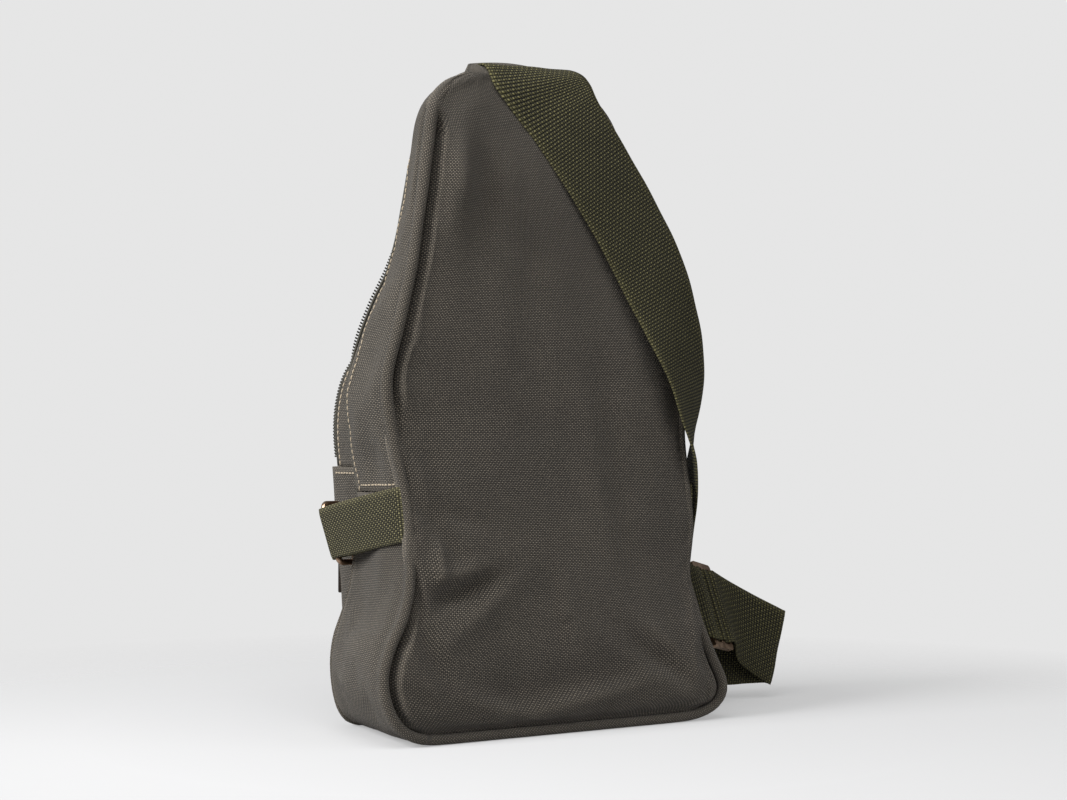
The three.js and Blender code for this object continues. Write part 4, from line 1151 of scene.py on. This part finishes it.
def build_pocket():
    share = SEAM_GAP / POCKET_HEIGHT
    arch_ups = even_ups(pocket_edge, POCKET_SEAM_UP + share / 2, 1, LOOP_STEP)
    arch, arch_n = outline(pocket_edge, arch_ups, POCKET_TOP_CROWN, False)
    grid, normals = pocket_wall("pocket_band_cloth", arch, POCKET_ZIP_SIDE + SEAM_GAP, "pocket_top_band")
    lines = [(grid[:, WALL_COLUMNS - 1], normals)]
    side_ups = even_ups(pocket_edge, POCKET_SIDE_UP, POCKET_SEAM_UP - share / 2, LOOP_STEP)
    for side, node in ((1, "pocket_side_left"), (-1, "pocket_side_right")):
        points = np.array([pocket_edge(side, up) for up in side_ups])
        grid, normals = pocket_wall(node + "_cloth", points, CANVAS / 2 + SEAM_GAP, node)
        lines.append((grid[-2, :WALL_COLUMNS], np.repeat(normals[-2:-1], WALL_COLUMNS, 0)))
    stitches("pocket_stitching", lines)
    zip_points = arch.copy()
    zip_points[:, 1] += POCKET_ZIP_SIDE
    build_zip("pocket_zip", zip_points, arch_n, POCKET_ZIP_REACH, POCKET_ZIP_SIDE - 1)
    build_pocket_face(arch_ups)


def face_rows(ups, inset):
    """Rows of the pocket's face from its left edge to its right edge."""
    whole = np.unique(np.concatenate([ups, even_ups(pocket_edge, 0, 1, LOOP_STEP)]))
    left, left_n, right, right_n = two_sides(pocket_edge, whole, POCKET_TOP_CROWN)
    t = np.linspace(0, 1, FACE_COLUMNS + 1)
    bow = 4 * t * (1 - t)
    grid = []
    for up in ups:
        i = int(np.argmin(np.abs(whole - up)))
        a = left[i] - left_n[i] * inset(up)
        b = right[i] - right_n[i] * inset(up)
        row = a + (b - a) * t[:, None]
        if up == 1:
            row[:, 2] += bow
        row[:, 1] -= POCKET_CROWN * bow * math.sin(math.pi * min(up * 1.15, 1)) ** 0.5
        grid.append(row)
    return np.array(grid)


def build_pocket_face(arch_ups):
    step = 2 * SEAM_GAP / POCKET_HEIGHT
    gap = CANVAS / 2 / POCKET_HEIGHT

    def inset(up):
        return 0.3 if up < POCKET_SEAM_UP else POCKET_ZIP_REACH + SEAM_GAP * 1.6

    lower = even_ups(pocket_edge, 0, FACE_ZIP_LOW - gap, PANEL_STEP)
    middle = even_ups(pocket_edge, FACE_ZIP_HIGH + gap, POCKET_SEAM_UP - step, PANEL_STEP)
    upper = np.concatenate([middle, arch_ups])
    for part, ups, seed in (("lower", lower, 51), ("upper", upper, 52)):
        grid = face_rows(ups, inset)
        crown = 1 - np.exp(-inner_distance(grid) / 14)
        grid[..., 1] -= CANVAS / 2
        grid[..., 1] -= crown * (1.0 + 0.8 * smooth_noise(grid, 70, seed))
        obj, _ = cloth_wall("pocket_" + part + "_cloth", grid, -Y, slack=0.003, pressure=0.2, cap=1.2)
        finish_piece(obj, "canvas", "pocket_face_" + part)
    ups = np.linspace(FACE_ZIP_LOW, FACE_ZIP_HIGH, 5)
    grid = face_rows(ups, inset)
    grid[..., 1] -= TAPE / 2
    finish_piece(shell("face_zip_tape_cloth", grid, tape_cloth, TAPE, -Y), "zip_tape", "face_zip_tape")
    centre = spline(face_rows(np.array([ups[2]]), lambda up: 2)[0], 3)
    low, high = face_rows(np.array([FACE_ZIP_LOW, FACE_ZIP_HIGH]), inset)[:, FACE_COLUMNS // 2]
    across = np.repeat(unit(high - low)[None], len(centre), 0)
    out = facing_front(across, np.gradient(centre, axis=0))
    build_teeth("face_zip", centre + out * (TAPE + 0.35), across, out)


# Webbing

def ribbon(name, stations, material, step, columns, wave=0.0):
    """A band of webbing through stations of centre, direction across and width."""
    data = np.array([np.concatenate([p, unit(w) * width]) for p, w, width in stations])
    fine = spline(data, step)
    centre, across = fine[:, :3], fine[:, 3:]
    t = np.linspace(-0.5, 0.5, columns + 1)
    grid = centre[:, None] + across[:, None] * t[None, :, None]
    normals = grid_normals(grid)
    if wave:
        grid = grid + normals * (wave * smooth_noise(grid, 26, 4))[..., None]
    thin = WEBBING * (1 - 0.5 * np.abs(2 * t) ** 10)
    half = normals * (thin / 2)[None, :, None]
    return wall(name, grid + half, grid - half, material, grid_uvs(grid))


def square_to(rough, line):
    rough = np.asarray(rough, float)
    return unit(rough - line * (rough @ line))


FOLD_RADIUS = RING_WIRE / 2 + WEBBING / 2 + COIL_GAP


def tab_frame(side):
    start = back_seam(side, TAB_UP, 0)
    start[1] -= CORD_RADIUS * TAB_TUCK
    line = unit((TAB_LINE[0] * side, *TAB_LINE[1:]))
    reach = start[1] - front_seam(side, TAB_UP, 0)[1] + TAB_FORWARD
    fold = start + np.array([side * (TAB_STAND - FOLD_RADIUS), -reach, -TAB_DROOP])
    return start, line, fold, reach, square_to((side, 0, 0), line), square_to((0, -1, 0), line)


HALF_TURN_STEPS, ARC_STEPS, RING_SIDES = 8, 8, 16


def half_turn(centre, side, outward_way, radius):
    angles = np.pi * np.arange(HALF_TURN_STEPS + 1) / HALF_TURN_STEPS
    return [centre + side * radius * math.cos(a) + outward_way * radius * math.sin(a) for a in angles]


def build_tab(side, node):
    """A tab of webbing from the back seam to its ring and back to the seam."""
    start, line, fold, reach, out, ahead = tab_frame(side)
    flip = np.array([side, 1, 1])

    def leg(table):
        ways = [(np.array([side * TAB_STAND * off, -reach * s, -TAB_DROOP * s]), w) for s, off, w in table]
        return [(start + way, unit(np.array(w) * flip), TAB_WIDTH) for way, w in ways]

    stations = [(start + np.array([side * 0.8, 1.2, 0]), unit(np.array(TAB[0][2]) * flip), TAB_WIDTH)]
    stations += leg(TAB)
    stations += [(p, line, TAB_WIDTH) for p in half_turn(fold, out, ahead, FOLD_RADIUS)]
    stations += leg(TAB_INNER)
    finish_piece(ribbon(node + "_webbing", stations, tab_webbing, 1.2, 12), "webbing", node)


def build_ring(side, node):
    """A rectangular ring in a tab's fold. Gives the middle of its upper arm."""
    _, line, fold, *_ = tab_frame(side)
    reach = square_to(RING_REACH[side], line)
    half = (TAB_WIDTH + WEBBING_SLACK + RING_WIRE) / 2
    deep = RING_DEPTH + RING_WIRE
    corner = RING_WIRE * 0.85
    centre = fold + reach * deep / 2
    points, radials = [], []
    for quarter, (sa, sb) in enumerate(((1, 1), (-1, 1), (-1, -1), (1, -1))):
        bend = centre + line * sa * (half - corner) + reach * sb * (deep / 2 - corner)
        for k in range(ARC_STEPS + 1):
            angle = math.pi / 2 * (quarter + k / ARC_STEPS)
            radial = line * math.cos(angle) + reach * math.sin(angle)
            points.append(bend + radial * corner)
            radials.append(radial)
    radials = np.array(radials)
    axes = (radials, np.broadcast_to(unit(np.cross(line, reach)), radials.shape))
    verts, faces = tube_mesh(np.array(points), RING_WIRE / 2, axes, RING_SIDES, True)
    finish_piece(closed_mesh(node + "_wire", verts, faces, brass), "brass", node)
    return centre + line * half


# The webbing's way through the slider: share of the pitch along it, and share of the height off it
THREADING = [
    (-1.4, 0.8),
    (-1, 1),
    (-0.74, 0.9),
    (-0.5, 0),
    (-0.26, -0.9),
    (0, -1),
    (0.26, -0.9),
    (0.5, 0),
    (0.74, 0.9),
    (1, 1),
    (1.4, 0.8),
]
# The sleeve over the slider's middle bar: millimetres along it and off it
SLEEVE = [(-3.0, -1.0), (-2.9, 0.9), (-2.0, 2.6), (0, 3.2), (2.0, 2.6), (2.9, 0.9), (3.0, -1.0)]


def build_strap(arm):
    """The shoulder strap, from the top through its slider and the hook behind the bag. arm: of the ring."""
    stations = [(on_bag(*row[:3]), row[3], STRAP_WIDTH * row[4]) for row in STRAP]
    off = unit(np.cross(SLIDER_RUN, SLIDER_UP))
    ride_height = FRAME_THICKNESS / 2 + WEBBING / 2 + 2 * RUNNING_GAP
    pitch = SLIDER_SLOT + FRAME_BAR
    for run, rise in THREADING:
        p = SLIDER_AT + SLIDER_RUN * run * pitch + off * rise * ride_height
        stations.append((p, SLIDER_UP, STRAP_WIDTH))
    wrap = [(SLIDER_AT + SLIDER_RUN * a + off * b, SLIDER_UP, STRAP_WIDTH - 1) for a, b in SLEEVE]
    finish_piece(ribbon("slider_sleeve", wrap, webbing, 0.8, 16), "webbing")
    stations.append((LOOP_AT, SLIDER_UP * 0.4 + CREASE_LINE * 0.6, STRAP_WIDTH))
    away = unit(np.cross(CREASE_LINE, Y))
    stations += [(p, CREASE_LINE, STRAP_WIDTH) for p in half_turn(CREASE_AT, Y, away, CREASE_RADIUS)]
    stations += [(on_bag(*row[:3]), row[3], STRAP_WIDTH) for row in RETURN]
    loop_radius = (HOOK_EYE + RING_WIRE) / 2
    loop = arm - Z * (HOOK_EYE / 2 - RING_WIRE / 2 - RUNNING_GAP)
    neck = FRAME_BAR * 2.6
    eye = loop - Z * (loop_radius + neck / 2 + FRAME_BAR + SLIDER_SLOT / 2)
    bar = eye - Z * (SLIDER_SLOT + FRAME_BAR) / 2
    radius = math.hypot(FRAME_BAR, FRAME_THICKNESS) / 2 + WEBBING / 2 + RUNNING_GAP
    square = unit(np.cross(HOOK_LINE, Z))
    side = square if square[0] < 0 else -square
    stations += [(p, HOOK_LINE, STRAP_WIDTH) for p in half_turn(bar, side, Z, radius)]
    stations.append((bar - side * radius - Z * STRAP_TAIL, HOOK_LINE, STRAP_WIDTH))
    strap = ribbon("shoulder_strap_webbing", stations, webbing, 2.4, 16, 0.35)
    finish_piece(strap, "webbing", "shoulder_strap")


# Hard pieces keep their solids, with softened edges

WELD_DISTANCE, EDGE_WIDTH, EDGE_ANGLE = 0.01, 0.35, 40


def dress(node, material):
    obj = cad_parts[node]
    obj.data.materials.clear()
    obj.data.materials.append(material)
    weld = obj.modifiers.new("weld", "WELD")
    weld.merge_threshold = WELD_DISTANCE * MM
    bevel = obj.modifiers.new("edges", "BEVEL")
    bevel.width = EDGE_WIDTH * MM
    bevel.segments = 2
    bevel.limit_method = "ANGLE"
    bevel.angle_limit = math.radians(EDGE_ANGLE)


# Camera, floor and light

# The camera fitted to the photo: its turn in degrees, its place in millimetres, and pixels of the photo
CAMERA_YAW = 34
CAMERA_AWAY, CAMERA_ACROSS, CAMERA_HEIGHT = 1160.5, 9.8, 158.5
PHOTO_WIDTH, FOCAL_LENGTH, HORIZON_SHIFT = 1067, 2000, 50
SENSOR_WIDTH = 36


def add_camera():
    yaw = math.radians(CAMERA_YAW)
    view = np.array([-math.sin(yaw), -math.cos(yaw), 0.0])
    right = np.array([-math.cos(yaw), math.sin(yaw), 0.0])
    place = (-view * CAMERA_AWAY + right * CAMERA_ACROSS + Z * CAMERA_HEIGHT) * MM
    tilt = math.atan(HORIZON_SHIFT / FOCAL_LENGTH)
    forward = view * math.cos(tilt) + Z * math.sin(tilt)
    up = np.cross(right, forward)
    data = bpy.data.cameras.new("camera")
    data.sensor_width = SENSOR_WIDTH
    data.lens = FOCAL_LENGTH / PHOTO_WIDTH * SENSOR_WIDTH
    data.clip_start = 0.05
    data.clip_end = 50
    obj = bpy.data.objects.new("camera", data)
    scene.collection.objects.link(obj)
    turn = Matrix([[right[i], up[i], -forward[i]] for i in range(3)]).to_4x4()
    obj.matrix_world = Matrix.Translation(Vector(place)) @ turn
    scene.camera = obj


def add_area(name, place, target, size, power):
    data = bpy.data.lights.new(name, "AREA")
    data.shape = "RECTANGLE"
    data.size, data.size_y = size
    data.energy = power
    obj = bpy.data.objects.new(name, data)
    scene.collection.objects.link(obj)
    obj.location = place
    obj.rotation_euler = (Vector(target) - Vector(place)).to_track_quat("-Z", "Y").to_euler()


# Half the floor's width, and where it fades into the backdrop, in metres from the bag
FLOOR_REACH, FADE_FROM, FADE_TO = 6.0, 0.25, 0.6


def add_studio():
    world = bpy.data.worlds.new("studio")
    scene.world = world
    world.use_nodes = True
    tree = world.node_tree
    tree.nodes.clear()
    out = tree.nodes.new("ShaderNodeOutputWorld")
    seen = tree.nodes.new("ShaderNodeBackground")
    seen.inputs["Color"].default_value = (0.79, 0.79, 0.79, 1)
    lit = tree.nodes.new("ShaderNodeBackground")
    lit.inputs["Color"].default_value = (1.0, 0.995, 0.985, 1)
    lit.inputs["Strength"].default_value = 0.2
    path = tree.nodes.new("ShaderNodeLightPath")
    mix = tree.nodes.new("ShaderNodeMixShader")
    tree.links.new(path.outputs["Is Camera Ray"], mix.inputs[0])
    tree.links.new(lit.outputs[0], mix.inputs[1])
    tree.links.new(seen.outputs[0], mix.inputs[2])
    tree.links.new(mix.outputs[0], out.inputs[0])
    scene.view_settings.view_transform = "Standard"

    # Floor that fades into the backdrop away from the bag
    corners = [(x * FLOOR_REACH, y * FLOOR_REACH, 0) for x, y in ((-1, -1), (1, -1), (1, 1), (-1, 1))]
    mesh = bpy.data.meshes.new("floor")
    mesh.from_pydata(corners, [], [(0, 1, 2, 3)])
    floor = bpy.data.objects.new("floor", mesh)
    scene.collection.objects.link(floor)
    m = Nodes("floor_paper")
    m.shader.inputs["Base Color"].default_value = (0.67, 0.67, 0.68, 1)
    m.shader.inputs["Roughness"].default_value = 0.9
    m.shader.inputs["Specular IOR Level"].default_value = 0.1
    length = m.vector("LENGTH", m.object_place())
    fade = m.spread(length.outputs["Value"], FADE_FROM, FADE_TO, 0.42, 1.0)
    clear = m.add("ShaderNodeBsdfTransparent")
    blend = m.add("ShaderNodeMixShader")
    output = m.tree.nodes["Material Output"]
    m.tree.links.new(fade, blend.inputs[0])
    m.tree.links.new(m.shader.outputs[0], blend.inputs[1])
    m.tree.links.new(clear.outputs[0], blend.inputs[2])
    m.tree.links.new(blend.outputs[0], output.inputs[0])
    mesh.materials.append(m.material)

    left = np.array([0.829, -0.559, 0.0])
    near = np.array([0.559, 0.829, 0.0])
    add_area("key", tuple(left * 1.3 + near * 0.95 + Z * 0.95), (0, 0, 0.17), (0.7, 0.9), 44)
    add_area("top", tuple(near * 0.95 + left * 0.1 + Z * 1.6), (0, 0, 0.1), (1.4, 1.4), 19)
    add_area("fill", tuple(left * -1.5 + near * 0.7 + Z * 0.8), (0, 0, 0.15), (1.2, 1.2), 7)


add_camera()
add_studio()
build_roll()
build_back()
build_gusset()
build_front()
build_pocket()
for tab_side, tab_node, ring_node in ((1, "tab_left", "ring_left"), (-1, "tab_right", "ring_right")):
    build_tab(tab_side, tab_node)
    ring_arm = build_ring(tab_side, ring_node)
build_strap(ring_arm)
for hard_node in ("strap_slider", "strap_hook"):
    dress(hard_node, brass)
for zip_name in ("main_zip", "pocket_zip", "face_zip"):
    dress(zip_name + "_slider", dark_metal)
    dress(zip_name + "_pull", dark_metal)
